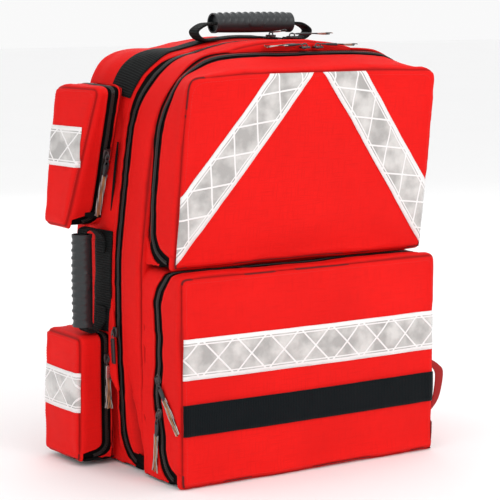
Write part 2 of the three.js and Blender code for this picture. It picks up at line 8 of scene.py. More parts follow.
import bmesh
import bpy
import numpy as np
from mathutils import Matrix, Vector, noise
from mathutils.bvhtree import BVHTree

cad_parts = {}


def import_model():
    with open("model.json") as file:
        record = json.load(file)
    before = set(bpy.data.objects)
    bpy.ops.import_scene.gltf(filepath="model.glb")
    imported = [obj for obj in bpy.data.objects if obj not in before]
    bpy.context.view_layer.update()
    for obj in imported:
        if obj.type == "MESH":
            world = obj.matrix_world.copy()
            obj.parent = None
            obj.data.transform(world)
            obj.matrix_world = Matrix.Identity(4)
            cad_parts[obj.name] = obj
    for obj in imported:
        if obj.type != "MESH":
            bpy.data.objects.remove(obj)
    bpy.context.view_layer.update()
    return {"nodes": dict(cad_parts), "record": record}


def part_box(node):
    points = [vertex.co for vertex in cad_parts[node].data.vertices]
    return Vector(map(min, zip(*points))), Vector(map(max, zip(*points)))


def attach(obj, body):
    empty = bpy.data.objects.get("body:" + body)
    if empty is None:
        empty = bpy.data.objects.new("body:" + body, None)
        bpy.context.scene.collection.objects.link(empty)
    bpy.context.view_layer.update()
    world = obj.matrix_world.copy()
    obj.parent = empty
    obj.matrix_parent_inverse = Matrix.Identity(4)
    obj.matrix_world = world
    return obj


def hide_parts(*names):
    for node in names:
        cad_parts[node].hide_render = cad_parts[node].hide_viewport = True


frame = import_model()
MM = 0.001
scene = bpy.context.scene

# ------------------------------------------------------------------ camera and light
LENS = 133.7
VIEW_AZIMUTH, VIEW_ELEVATION = math.radians(-33.0), math.radians(8.0)
LOOK_AT = Vector((-93, -200, 284)) * MM
DISTANCE = 2.230


def look(obj, place, target):
    obj.location = place
    obj.rotation_euler = (target - place).to_track_quat("-Z", "Y").to_euler()


def make_camera():
    camera = bpy.data.objects.new("camera", bpy.data.cameras.new("camera"))
    scene.collection.objects.link(camera)
    camera.data.lens = LENS
    level = math.cos(VIEW_ELEVATION)
    back = Vector((math.sin(VIEW_AZIMUTH) * level, -math.cos(VIEW_AZIMUTH) * level,
                   math.sin(VIEW_ELEVATION)))
    look(camera, LOOK_AT + back * DISTANCE, LOOK_AT)
    scene.camera = camera


def softbox(name, place, size, power):
    light = bpy.data.lights.new(name, "AREA")
    light.shape, light.size, light.size_y = "RECTANGLE", size[0], size[1]
    light.energy = power
    holder = bpy.data.objects.new(name, light)
    scene.collection.objects.link(holder)
    look(holder, Vector(place), Vector((0, -0.08, 0.27)))


def make_light():
    softbox("key_softbox", (0.5, -2.9, 2.0), (1.1, 0.9), 24)
    softbox("fill_softbox", (-2.6, -0.6, 1.2), (1.2, 1.2), 3)
    softbox("top_softbox", (0.3, -0.3, 2.7), (1.8, 1.6), 8)
    softbox("rear_softbox", (0.9, 2.3, 1.5), (1.6, 1.2), 9)
    world = bpy.data.worlds.new("studio")
    scene.world = world
    world.use_nodes = True
    world.node_tree.nodes["Background"].inputs["Color"].default_value = (1, 1, 1, 1)
    world.node_tree.nodes["Background"].inputs["Strength"].default_value = 0.95
    scene.view_settings.view_transform = "Standard"


make_camera()
make_light()

# ------------------------------------------------------------------ sizes, as the CAD model has them
BODY_HALF, CROWN_EDGE, CROWN_RISE = 187, 516, 15
TOP_CORNER, GROUND_CORNER, SIDE_BULGE = 78, 14, 7
BACK_FACE, LID_FACE, ZIP_FACE = 55, -113, -55
WAIST, LEAN_SLOPE = 262.5, 38 / 268.5
ZIP_TURN, HEM = 52, 10
POCKET_BACK = LID_FACE - 0.3
BAND_FRONT, BAND_WIDTH = -42, 40
BODY_DEPTH, TRAY_DEPTH = 168, 110
POUCH_WIDTH, UPPER_POUCH_FLOOR, UPPER_POUCH_HEIGHT, LOWER_POUCH_HEIGHT = 94, 62, 168, 160
POUCH_REAR, POUCH_ZIP = 57, 15
UPPER_ZIP, LOWER_ZIP = 9, 36


def lean_at(z):
    return -LEAN_SLOPE * np.maximum(0, z - WAIST)


def side_at(z):
    t = np.clip((z - GROUND_CORNER) / (CROWN_EDGE - TOP_CORNER - GROUND_CORNER), 0, 1)
    return BODY_HALF + 4 * SIDE_BULGE * t * (1 - t)


def crown_at(x):
    return CROWN_EDGE + CROWN_RISE * (1 - (x / (BODY_HALF - TOP_CORNER)) ** 2)


def settle(p):
    """The cloth's own give: the crown corners sag at the zips and stand fuller at the back."""
    x, y, z = p[..., 0], p[..., 1], p[..., 2]
    flat = y - lean_at(z)
    amount = np.interp(flat, [-186, -160, -122, -60, -20, 20], [0, -9, -16, -13, 0, 9])
    near = np.exp(-((np.abs(x) - 168) ** 2 + (z - 492) ** 2) / (2 * 33 ** 2))
    amount = amount * near * np.where(x < 0, 1.0, 0.55)
    out = p.copy()
    out[..., 0] += np.sign(x) * amount * 0.6
    out[..., 2] += amount * 0.8
    return out


# ------------------------------------------------------------------ outlines and patches
def arc(before, corner, after, t):
    t = t[:, None]
    return (1 - t) ** 2 * before + 2 * t * (1 - t) * corner + t ** 2 * after


def along(points, fractions):
    """Points at fractions of the length of a line of points."""
    steps = np.linalg.norm(np.diff(points, axis=0), axis=1)
    length = np.concatenate([[0], np.cumsum(steps)])
    wanted = np.asarray(fractions) * length[-1]
    return np.stack([np.interp(wanted, length, points[:, k]) for k in range(points.shape[1])], 1)


def outline(corners, long_cut, side_cut):
    """A closed ring from four corners (x, height, rounding), anticlockwise from the lower left.

    Each side runs from the middle of one corner to the middle of the next.
    """
    places = [np.array(c[:2], float) for c in corners]
    pieces = []
    for k in range(4):
        start, end = places[k], places[(k + 1) % 4]
        before, after = places[k - 1], places[(k + 2) % 4]
        unit = (end - start) / np.linalg.norm(end - start)
        r0, r1 = corners[k][2], corners[(k + 1) % 4][2]
        half = np.linspace(0, 0.5, 12)
        back = (before - start) / np.linalg.norm(before - start)
        ahead = (after - end) / np.linalg.norm(after - end)
        first = arc(start + back * r0, start, start + unit * r0, half + 0.5)
        last = arc(end - unit * r1, end, end + ahead * r1, half)
        cut = (long_cut, side_cut, long_cut, 1 - side_cut[::-1])[k]
        pieces.append(along(np.concatenate([first, last]), cut)[:-1])
    return np.concatenate(pieces)


def spaced(length, step, low=(), high=()):
    """Fractions of a side: close steps at its ends, where seams are, and even ones between."""
    low, high = np.array(low or [0.0]), np.array(high or [0.0])
    middle = np.linspace(low[-1], length - high[-1], max(3, int((length - low[-1] - high[-1]) / step)))
    return np.concatenate([low[:-1], middle, (length - high[:-1])[::-1]]) / length


SEAM_STEPS = [0, 1.3, 2.8, 5, 8]


class Pocket:
    """A sewn box of cloth: rings from its back to its face, with a zip round three sides.

    Its own frame is x across, h up from its floor, and out from its back.
    """

    def __init__(self, back, face, depth, zip_at, wall, turn, world, flare=0, tilt=0, step=5,
                 slant=0, front=1, reshape=None, meander=None):
        width, high = 2 * abs(back[0][0]), back[2][1]
        self.depth, self.zip_at, self.turn = depth, zip_at, turn
        self.floor, self.world, self.high, self.width = wall + 1, world, high, width
        self.hinge = depth + flare - wall - 2.5
        self.meander, self.hem = meander, HEM
        low = [0, 2] + [self.floor + turn * (k / 12) ** 2 for k in range(1, 13)]
        self.long_cut = spaced(width, step, SEAM_STEPS, SEAM_STEPS)
        self.side_cut = spaced(high, step, low, SEAM_STEPS)
        rings = []
        for corners in (back, face):
            ring = outline(corners, self.long_cut, self.side_cut)
            forward = 0.5 + front * ring[:, 0] / width
            rise = ring[:, 1] / corners[2][1]
            deep = depth + flare * (1 - rise) - tilt * rise * forward if corners is face else 0 * rise
            ring = np.stack([ring[:, 0] + front * slant * forward * rise, ring[:, 1], deep], 1)
            rings.append(reshape(ring) if reshape else ring)
        self.back, self.face = (np.concatenate([r, r[:1]]) for r in rings)
        self.columns, self.rows = len(self.long_cut) - 1, len(self.side_cut) - 1
        self.open = np.arange(self.columns, len(self.back))

    def zip_share(self, off):
        """How far out each point of the ring meets the zip line moved back by off."""
        at, floor = self.zip_at - off, self.floor - off
        h = self.back[:, 1]
        t = 1 - np.sqrt(np.clip((h - floor) / (self.turn + off), 0, 1))
        out = at + (self.hinge - at) * t ** 2
        if self.meander:
            out = out + self.meander(self.back) * (1 - t)
        return out / np.maximum(self.face[:, 2], 1)

    def ring(self, share):
        share = np.asarray(share)[:, None]
        return self.back * (1 - share) + self.face * share

    def strip(self, start, end, cuts, lift, only):
        """A band of cloth between two shares of the depth: world points, cloth coordinates, lift."""
        rings = np.stack([self.ring(start + (end - start) * c) for c in cuts], 1)[only]
        step = np.linalg.norm(np.diff(rings[:, -1], axis=0), axis=1)
        u = np.concatenate([[0], np.cumsum(step)])
        v = rings[:, :, 2]
        cloth = np.stack([np.broadcast_to(u[:, None], v.shape), v], 2)
        lift = np.broadcast_to(np.asarray(lift, float), v.shape)
        return self.world(rings), cloth, lift.copy()

    def panel(self, ring):
        """A panel that fills a ring, blended between its four sides."""
        n, m = self.columns, self.rows
        bottom, right = ring[:n + 1], ring[n:n + m + 1]
        top, left = ring[n + m:2 * n + m + 1][::-1], ring[2 * n + m:][::-1]
        u, v = self.long_cut[:, None, None], self.side_cut[None, :, None]
        flat = ((1 - v) * bottom[:, None] + v * top[:, None] + (1 - u) * left[None] + u * right[None]
                - (1 - u) * (1 - v) * bottom[0] - u * (1 - v) * bottom[-1]
                - (1 - u) * v * top[0] - u * v * top[-1])
        wide, tall = self.width, self.high
        edge = np.minimum(np.minimum(u, 1 - u) * wide, np.minimum(v, 1 - v) * tall)[..., 0]
        return flat, flat[..., :2], edge


def seam_lift(edge, depth=2.0, roll=1.7):
    """A stitched seam: a groove on the line, and the cloth rolling up beside it."""
    return -depth * np.exp(-(edge / 1.6) ** 2) + roll * np.exp(-((edge - 7) / 6) ** 2)


def seam_shade(edge):
    """How deep in the fold of a seam a point lies, from 0 to 1: the mask of the painted shade that darkens
    the seams.
    """
    return np.exp(-(edge / 1.9) ** 2)


def pleat(y, z, low, high, valley, ridge):
    """A slanting fold in a flank between two ends: its lift, and how deep in it a point lies, which is
    painted into the cloth as shade.
    """
    (y0, z0), (y1, z1) = low, high
    length = math.hypot(y1 - y0, z1 - z0)
    share = ((y - y0) * (y1 - y0) + (z - z0) * (z1 - z0)) / length ** 2
    off = ((y - y0) * (z1 - z0) - (z - z0) * (y1 - y0)) / length
    fade = float(np.clip(min(share + 0.12, 1.08 - share) * 3.5, 0, 1))
    deep = math.exp(-(off / (4 + 5 * max(0, 1 - share))) ** 2)
    return np.array([fade * (ridge * math.exp(-((off - 11) / 6) ** 2) - valley * deep), fade * deep])


def folds(p):
    """The folds of the slack flanks beside the main zip, on both sides: their lift, and the shade painted
    into them.
    """
    x, y, z = float(p[0]), float(p[1]), float(p[2])
    found = np.zeros(2)
    if abs(x) < 170 or y < -192 or y > 60:
        return found
    y = y - float(lean_at(z))
    if y < ZIP_FACE - HEM - 3:
        found += pleat(y, z, (ZIP_FACE - 47, 6), (ZIP_FACE - HEM - 9, 118), 9.0, 3.0) * (1, 0.75)
    elif y > ZIP_FACE + HEM + 1:
        found += pleat(y, z, (ZIP_FACE + 19, 20), (ZIP_FACE + 17, 150), 6.0, 1.0) * (1, 0.6)
        found += pleat(y, z, (ZIP_FACE + 22, 340), (ZIP_FACE + 27, 458), 4.0, 0.8) * (1, 0.45)
    return found


def crease(p, size=1.0):
    """Soft unevenness of stretched cloth, in millimetres, at a point in millimetres."""
    slow = noise.noise(Vector((p[0] / 95, p[1] / 95, p[2] / 70)))
    middle = noise.noise(Vector((p[0] / 44 + 7, p[1] / 44, p[2] / 26)))
    fine = noise.noise(Vector((p[0] / 17, p[1] / 17 + 3, p[2] / 12)))
    ridge = 1 - abs(noise.noise(Vector((p[0] / 60, p[1] / 60 + 11, p[2] / 34)))) * 2
    return size * (1.9 * slow + 1.0 * middle + 0.3 * fine + 2.2 * max(0, ridge - 0.70))


def finish_mesh(name, vertices, faces, uvs=None, materials=(), smooth=True, angle=None, groups=None):
    mesh = bpy.data.meshes.new(name)
    mesh.from_pydata([tuple(v) for v in np.asarray(vertices) * MM], [], faces)
    obj = bpy.data.objects.new(name, mesh)
    scene.collection.objects.link(obj)
    if uvs is not None:
        layer = mesh.uv_layers.new(name="cloth")
        corners = np.array([uvs[k] for f in faces for k in f], float) * MM
        layer.data.foreach_set("uv", corners.astype(np.float32).ravel())
    for material in materials:
        mesh.materials.append(material)
    if groups is not None:
        mesh.polygons.foreach_set("material_index", groups)
    mesh.polygons.foreach_set("use_smooth", [smooth] * len(faces))
    if angle:
        mesh.set_sharp_from_angle(angle=math.radians(angle))
    return obj


def only_select(obj):
    for other in bpy.context.selected_objects:
        other.select_set(False)
    obj.select_set(True)
    bpy.context.view_layer.objects.active = obj


def apply_modifier(obj, kind, **settings):
    modifier = obj.modifiers.new(kind.lower(), kind)
    for key, value in settings.items():
        setattr(modifier, key, value)
    only_select(obj)
    bpy.ops.object.modifier_apply(modifier=modifier.name)


def grid_faces(a, b, start=0, flip=False):
    i, j = np.meshgrid(np.arange(a - 1), np.arange(b - 1), indexing="ij")
    k = start + i * b + j
    faces = np.stack([k, k + b, k + b + 1, k + 1], -1).reshape(-1, 4)
    return (faces[:, ::-1] if flip else faces).tolist()


# no cloth reaches lower than this above the ground
LOWEST = 0.3


def sew(name, patches, materials, thickness, wrinkle=1.0, flips=(), groups=(), inner=None, smooth=1):
    """Sews patches (points, cloth coordinates, lift) into one shell with a wall."""
    points, uvs, lifts, shades, faces, index = [], [], [], [], [], []
    for k, (p, cloth, lift, *shade) in enumerate(patches):
        a, b = p.shape[:2]
        shades.append((shade[0] if shade else 0 * lift).reshape(-1))
        new = grid_faces(a, b, sum(len(x) for x in points), k in flips)
        faces += new
        index += [groups[k] if groups else 0] * len(new)
        points.append(p.reshape(-1, 3))
        uvs.append(cloth.reshape(-1, 2))
        lifts.append(lift.reshape(-1))
    points, uvs, lifts = np.concatenate(points), np.concatenate(uvs), np.concatenate(lifts)
    all_materials = list(materials) + ([inner] if inner else [])
    obj = finish_mesh(name, points, faces, uvs, all_materials, groups=index)
    mesh = obj.data
    # the seam attribute holds painted shade, which darkens the colour in the grooves of seams and in folds
    for label, values in (("lift", lifts), ("seam", np.concatenate(shades))):
        mesh.attributes.new(label, "FLOAT", "POINT").data.foreach_set("value", values.astype(np.float32))
    bm = bmesh.new()
    bm.from_mesh(mesh)
    bmesh.ops.remove_doubles(bm, verts=bm.verts, dist=0.05 * MM)
    bmesh.ops.dissolve_degenerate(bm, edges=bm.edges, dist=0.02 * MM)
    bm.normal_update()
    layer = bm.verts.layers.float["lift"]
    seam = bm.verts.layers.float["seam"]
    moves = []
    for v in bm.verts:
        fold, shade = folds(v.co / MM) if name in ("tray_shell", "lid_shell") else (0, 0)
        # the depth of a fold is added to the painted shade
        v[seam] = min(1, v[seam] + shade)
        moves.append((v, v.normal * (v[layer] + wrinkle * crease(v.co / MM) + fold) * MM))
    for v, move in moves:
        v.co += move
        v.co.z = max(v.co.z, LOWEST * MM)
    bm.to_mesh(mesh)
    bm.free()
    if smooth:
        apply_modifier(obj, "SMOOTH", factor=0.25, iterations=smooth)
    shell = obj.data.copy()
    apply_modifier(obj, "SOLIDIFY", thickness=thickness * MM, offset=-1,
                   use_even_offset=False, material_offset=len(materials) if inner else 0)
    for v in obj.data.vertices:
        v.co.z = max(v.co.z, LOWEST * MM)
    obj.data.attributes.remove(obj.data.attributes["lift"])
    return obj, shell


def surface_of(mesh):
    return BVHTree.FromPolygons([v.co for v in mesh.vertices], [p.vertices[:] for p in mesh.polygons])


# ------------------------------------------------------------------ materials
class Nodes:
    """Adds nodes to a tree and wires each up in one call."""

    def __init__(self, tree):
        self.tree = tree

    def put(self, socket, value):
        if isinstance(value, bpy.types.NodeSocket):
            self.tree.links.new(value, socket)
        else:
            socket.default_value = value

    def add(self, kind, inputs=None, **settings):
        node = self.tree.nodes.new(kind)
        for key, value in settings.items():
            setattr(node, key, value)
        for key, value in (inputs or {}).items():
            self.put(node.inputs[key], value)
        return node

    def math(self, operation, a, b=0.0, c=0.0):
        return self.add("ShaderNodeMath", {0: a, 1: b, 2: c}, operation=operation).outputs[0]

    def mix(self, factor, a, b):
        return self.add("ShaderNodeMix", {0: factor, 6: a, 7: b}, data_type="RGBA").outputs[2]

    def ramp(self, value, low, high, start=0.0, end=1.0):
        return self.add("ShaderNodeMapRange", {0: value, 1: low, 2: high, 3: start, 4: end}).outputs[0]

    def noise(self, vector, scale, detail=2.0):
        return self.add("ShaderNodeTexNoise",
                        {"Vector": vector, "Scale": scale, "Detail": detail}).outputs["Fac"]

    def bump(self, height, distance, strength=1.0, normal=None):
        node = self.add("ShaderNodeBump",
                        {"Height": height, "Distance": distance, "Strength": strength})
        if normal is not None:
            self.put(node.inputs["Normal"], normal)
        return node.outputs["Normal"]

    def group(self, tree, inputs):
        return self.add("ShaderNodeGroup", inputs, node_tree=tree).outputs


FLOAT, VECTOR = "NodeSocketFloat", "NodeSocketVector"


def make_group(name, inputs, outputs, build):
    tree = bpy.data.node_groups.new(name, "ShaderNodeTree")
    for label, kind in inputs:
        tree.interface.new_socket(label, in_out="INPUT", socket_type=kind)
    for label in outputs:
        tree.interface.new_socket(label, in_out="OUTPUT", socket_type=FLOAT)
    nodes = Nodes(tree)
    given, sink = nodes.add("NodeGroupInput"), nodes.add("NodeGroupOutput")
    for label, socket in build(nodes, given.outputs).items():
        tree.links.new(socket, sink.inputs[label])
    return tree


def plain_weave(n, given):
    """Over-and-under yarns: their height, and the gaps between them."""
    split = n.add("ShaderNodeSeparateXYZ", {0: given["Vector"]}).outputs
    u = n.math("DIVIDE", split[0], given["Yarn"])
    v = n.math("DIVIDE", split[1], given["Yarn"])
    wave_u = n.math("ABSOLUTE", n.math("SINE", n.math("MULTIPLY", u, math.pi)))
    wave_v = n.math("ABSOLUTE", n.math("SINE", n.math("MULTIPLY", v, math.pi)))
    over = n.math("ABSOLUTE", n.math("MODULO", n.math("ADD", n.math("FLOOR", u), n.math("FLOOR", v)), 2.0))
    warp = n.math("MULTIPLY", wave_u, n.math("MULTIPLY_ADD", over, 0.6, 0.4))
    weft = n.math("MULTIPLY", wave_v, n.math("SUBTRACT", 1.0, n.math("MULTIPLY", over, 0.6)))
    return {"Height": n.math("MAXIMUM", warp, weft),
            "Gaps": n.math("SUBTRACT", 1.0, n.math("MULTIPLY", wave_u, wave_v))}


def fading(n, given):
    """Slow uneven wear over a piece, and the fine fibres in it."""
    return {"Wear": n.ramp(n.noise(given["Vector"], 8.0, 3.0), 0.32, 0.7),
            "Fibre": n.noise(given["Vector"], 700.0, 2.0)}


WEAVE = make_group("plain weave", [("Vector", VECTOR), ("Yarn", FLOAT)], ["Height", "Gaps"], plain_weave)
FADING = make_group("cloth fading", [("Vector", VECTOR)], ["Wear", "Fibre"], fading)


def new_material(name, roughness=0.7, **inputs):
    material = bpy.data.materials.new(name)
    material.use_nodes = True
    surface = material.node_tree.nodes["Principled BSDF"]
    surface.inputs["Roughness"].default_value = roughness
    for key, value in inputs.items():
        surface.inputs[key.replace("_", " ").title().replace("Ior", "IOR")].default_value = value
    n = Nodes(material.node_tree)
    places = n.add("ShaderNodeTexCoord").outputs
    return material, n, surface.inputs, places


def slubs(n, given):
    """Thick and thin yarns that show as faint lines both ways across plain cloth."""
    found = []
    for scale in ((40.0, 620.0, 1.0), (620.0, 40.0, 1.0)):
        stretched = n.add("ShaderNodeVectorMath", {0: given["Vector"], 1: scale}, operation="MULTIPLY")
        found.append(n.ramp(n.noise(stretched.outputs[0], 1.0, 1.0), 0.5, 0.72))
    return {"Lines": n.math("MAXIMUM", *found)}


SLUBS = make_group("slub yarns", [("Vector", VECTOR)], ["Lines"], slubs)


def woven(name, colour, shade, yarn, depth, roughness=0.75, specular=0.25, sheen=0.0, slub=0.3):
    """Plain-woven cloth on the piece's own cloth coordinates, in metres, with painted shade darkening it down
    in its seams and folds.
    """
    material, n, surface, places = new_material(name, specular_ior_level=specular, sheen_weight=sheen)
    weave = n.group(WEAVE, {"Vector": places["UV"], "Yarn": yarn})
    wear = n.group(FADING, {"Vector": places["Object"]})
    lines = n.group(SLUBS, {"Vector": places["UV"]})["Lines"]
    # painted shade: the seam attribute darkens the colour towards deep in the grooves of seams and in folds
    seam = n.add("ShaderNodeAttribute", attribute_name="seam").outputs["Fac"]
    dyed = n.mix(n.math("MULTIPLY", weave["Gaps"], 0.38), colour, shade)
    dyed = n.mix(n.math("MULTIPLY", lines, slub), dyed, shade)
    # painted shade: soft patches of darker colour stand in for the shading of the cloth's slow undulations
    painted_undulation_shade = n.ramp(n.noise(places["Object"], 8.0, 3.0), 0.38, 0.70)
    dyed = n.mix(n.math("MULTIPLY", painted_undulation_shade, 0.30), dyed, shade)
    dyed = n.mix(n.math("MULTIPLY", wear["Wear"], 0.16), dyed, shade)
    deep = [c * 0.26 for c in colour[:3]] + [1]
    n.put(surface["Base Color"], n.mix(n.math("MULTIPLY", seam, 0.85), dyed, deep))
    n.put(surface["Roughness"], n.math("MULTIPLY_ADD", wear["Fibre"], 0.2, roughness - 0.1))
    height = n.math("MULTIPLY_ADD", wear["Fibre"], 0.4, weave["Height"])
    height = n.math("MULTIPLY_ADD", lines, 0.8, height)
    n.put(surface["Normal"], n.bump(height, depth, 0.8))
    return material


def ribbed(name, colour, shade, rib, depth, roughness=0.7):
    """Webbing: ribs across its length, with a fine twill between them."""
    material, n, surface, places = new_material(name, specular_ior_level=0.12)
    split = n.add("ShaderNodeSeparateXYZ", {0: places["UV"]}).outputs
    ribs = n.math("ABSOLUTE", n.math("SINE", n.math("MULTIPLY", split[0], math.pi / rib)))
    weave = n.group(WEAVE, {"Vector": places["UV"], "Yarn": rib * 0.42})
    wear = n.group(FADING, {"Vector": places["Object"]})
    # painted shade: the troughs between the ribs are coloured darker than their crests
    n.put(surface["Base Color"], n.mix(n.ramp(ribs, 0.0, 0.8), shade, colour))
    n.put(surface["Roughness"], n.math("MULTIPLY_ADD", wear["Fibre"], 0.25, roughness - 0.12))
    height = n.math("MULTIPLY_ADD", weave["Height"], 0.3, ribs)
    n.put(surface["Normal"], n.bump(height, depth, 0.9))
    return material


def moulded(name, colour, worn, grain, depth, roughness=0.5, **inputs):
    """Moulded rubber, plastic or coated metal: fine grain and slow wear."""
    material, n, surface, places = new_material(name, **inputs)
    wear = n.group(FADING, {"Vector": places["Object"]})
    fine = n.noise(places["Object"], grain, 3.0)
    n.put(surface["Base Color"], n.mix(n.math("MULTIPLY", wear["Wear"], 0.5), colour, worn))
    n.put(surface["Roughness"], n.math("MULTIPLY_ADD", fine, 0.24, roughness - 0.12))
    n.put(surface["Normal"], n.bump(fine, depth, 0.6))
    return material


FILM_WIDTH, LATTICE = 0.050, 0.047


def film_material():
    """Prismatic silver film with a white border and white welded crosses, with painted reflections and glints
    where the film is creased.
    """
    material, n, surface, places = new_material("reflective film", specular_ior_level=0.6)
    split = n.add("ShaderNodeSeparateXYZ", {0: places["UV"]}).outputs
    from_middle = n.math("ABSOLUTE", n.math("SUBTRACT", split[1], FILM_WIDTH / 2))
    across = n.math("SUBTRACT", split[1], FILM_WIDTH / 2)

    def crossing(direction):
        slant = n.math("MULTIPLY_ADD", across, direction, split[0])
        near = n.math("PINGPONG", slant, LATTICE / 2)
        return n.ramp(near, 0.0013, 0.0019, 1.0, 0.0)

    lattice = n.math("MAXIMUM", crossing(1.0), crossing(-1.0))
    inner = n.math("MULTIPLY", n.ramp(from_middle, 0.0166, 0.0172),
                   n.ramp(from_middle, 0.0183, 0.0189, 1.0, 0.0))
    border = n.ramp(from_middle, 0.0196, 0.0202)
    white = n.math("MAXIMUM", n.math("MAXIMUM", lattice, inner), border)
    # painted reflection: the silver is painted lighter and darker with the creases of the film, and glint
    # paints fine white highlights on it
    crumple_and_painted_reflection = n.noise(places["Object"], 34.0, 4.0)
    glint = n.noise(places["Object"], 1500.0, 1.0)
    silver = n.mix(n.ramp(crumple_and_painted_reflection, 0.40, 0.62), (0.33, 0.31, 0.295, 1), (0.62, 0.59, 0.565, 1))
    silver = n.mix(n.math("MULTIPLY", glint, 0.16), silver, (0.92, 0.92, 0.93, 1))
    n.put(surface["Base Color"], n.mix(white, silver, (0.86, 0.83, 0.82, 1)))
    n.put(surface["Roughness"], n.math("MULTIPLY_ADD", white, 0.24, 0.24))
    n.put(surface["Coat Weight"], n.ramp(white, 0.0, 1.0, 0.7, 0.15))
    height = n.math("MULTIPLY_ADD", crumple_and_painted_reflection, 3.4, n.math("MULTIPLY", white, 0.35))
    n.put(surface["Normal"], n.bump(height, 0.0013, 0.9))
    return material


def loop_material():
    """Deep black loop pile in fine rows."""
    material, n, surface, places = new_material("loop pile", roughness=0.9, specular_ior_level=0.05,
                                                sheen_weight=0.05)
    split = n.add("ShaderNodeSeparateXYZ", {0: places["UV"]}).outputs
    rows = n.math("ABSOLUTE", n.math("SINE", n.math("MULTIPLY", split[0], math.pi / 0.0024)))
    pile = n.noise(places["UV"], 1300.0, 3.0)
    height = n.math("MULTIPLY_ADD", rows, 0.5, pile)
    n.put(surface["Base Color"],
          n.mix(n.ramp(height, 0.35, 1.2), (0.002, 0.003, 0.004, 1), (0.009, 0.012, 0.014, 1)))
    n.put(surface["Normal"], n.bump(height, 0.0006, 0.9))
    return material


RIBBON_WIDTH = 0.0072


def ribbon_material():
    """The pulls' woven ribbon: grey, white, black and orange strands along it."""
    material, n, surface, places = new_material("striped ribbon", roughness=0.75)
    split = n.add("ShaderNodeSeparateXYZ", {0: places["UV"]}).outputs
    across = n.math("ABSOLUTE", n.math("SUBTRACT", split[1], RIBBON_WIDTH / 2))
    stripes = n.math("PINGPONG", n.math("MULTIPLY_ADD", split[0], 0.10, split[1]), 0.0011)
    light = n.ramp(stripes, 0.00035, 0.0006)
    middle = n.ramp(across, 0.0021, 0.0025, 1.0, 0.0)
    flecks = n.noise(places["UV"], 700.0, 2.0)
    bright = n.mix(middle, (0.62, 0.60, 0.57, 1), (0.66, 0.30, 0.10, 1))
    bright = n.mix(n.math("MULTIPLY", flecks, 0.4), bright, (0.25, 0.22, 0.19, 1))
    n.put(surface["Base Color"], n.mix(light, (0.025, 0.022, 0.02, 1), bright))
    n.put(surface["Normal"], n.bump(light, 0.0003, 0.7))
    return material


def mesh_material():
    """Spacer mesh over foam: rows of small round holes."""
    material, n, surface, places = new_material("spacer mesh", roughness=0.85, specular_ior_level=0.2)
    cells = n.add("ShaderNodeTexVoronoi", {"Vector": places["Object"], "Scale": 260.0, "Randomness": 0.25})
    hole = n.ramp(cells.outputs["Distance"], 0.16, 0.3, 1.0, 0.0)
    n.put(surface["Base Color"], n.mix(hole, (0.020, 0.022, 0.024, 1), (0.004, 0.004, 0.005, 1)))
    n.put(surface["Normal"], n.bump(n.math("SUBTRACT", 1.0, hole), 0.0009, 0.9))
    return material


RED, RED_SHADE = (0.93, 0.0095, 0.0075, 1), (0.64, 0.005, 0.004, 1)
INK_SHADE = (0.004, 0.005, 0.005, 1)
CLOTH = {
    "red_cordura": woven("red coated cloth", RED, RED_SHADE, 0.00062, 0.00016, specular=0.14),
    "lining": woven("red lining", (0.42, 0.010, 0.010, 1), (0.24, 0.006, 0.006, 1), 0.0005, 0.0001, 0.55),
    "base_cloth": woven("black base cloth", (0.008, 0.009, 0.009, 1), INK_SHADE, 0.0009, 0.0003, 0.8, 0.06),
    "zip_tape": woven("zip tape", (0.0045, 0.004, 0.004, 1), (0.0015, 0.0015, 0.0015, 1), 0.0006, 0.00015,
                      0.8, 0.05),
    "red_thread": moulded("red thread", (0.78, 0.012, 0.010, 1), (0.55, 0.008, 0.007, 1), 900.0, 0.0001,
                          0.6),
    # the second colour is the painted shade in the troughs between the webbing's ribs
    "black_webbing": ribbed("black webbing", (0.013, 0.0145, 0.0145, 1), (0.0015, 0.002, 0.002, 1), 0.0031,
                            0.0011),
    "grip_rubber": moulded("grip rubber", (0.012, 0.015, 0.017, 1), (0.024, 0.029, 0.031, 1), 900.0, 0.0002,
                           0.42),
    "black_plastic": moulded("black plastic", (0.010, 0.011, 0.012, 1), (0.02, 0.021, 0.022, 1), 1200.0,
                             0.0001, 0.4),
    "coil": moulded("zip coil", (0.030, 0.021, 0.018, 1), (0.055, 0.040, 0.034, 1), 1500.0, 0.0001, 0.34),
    "slider_metal": moulded("blackened metal", (0.05, 0.05, 0.052, 1), (0.16, 0.16, 0.16, 1), 600.0, 0.0001,
                            0.34, metallic=0.85),
    "bright_metal": moulded("bright metal", (0.50, 0.50, 0.49, 1), (0.34, 0.34, 0.33, 1), 500.0, 0.0001, 0.3,
                            metallic=0.9),
    "reflective": film_material(),
    "loop_tape": loop_material(),
    "pull_cord": ribbon_material(),
    "pad_mesh": mesh_material(),
}


def piece(obj, body, slot, *nodes):
    """Attaches a finished piece to the body that it moves with, and hides the CAD nodes that it stands for;
    its finish, slot, is not used.
    """
    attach(obj, body)
    if nodes:
        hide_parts(*nodes)
    return obj


# ------------------------------------------------------------------ the sewn forms
def body_world(p):
    q = np.stack([p[..., 0], BACK_FACE - p[..., 2] + lean_at(p[..., 1]), p[..., 1]], -1)
    return settle(q)


def front_world(base):
    def world(p):
        z = p[..., 1] + base
        return settle(np.stack([p[..., 0], POCKET_BACK - p[..., 2] + lean_at(z), z], -1))
    return world


def side_world(sign, base, place_y, leaning):
    def world(p):
        z = p[..., 1] + base
        y = place_y + sign * p[..., 0] + (lean_at(z) if leaning else 0)
        return np.stack([sign * (BODY_HALF + p[..., 2]), y, z], -1)
    return world


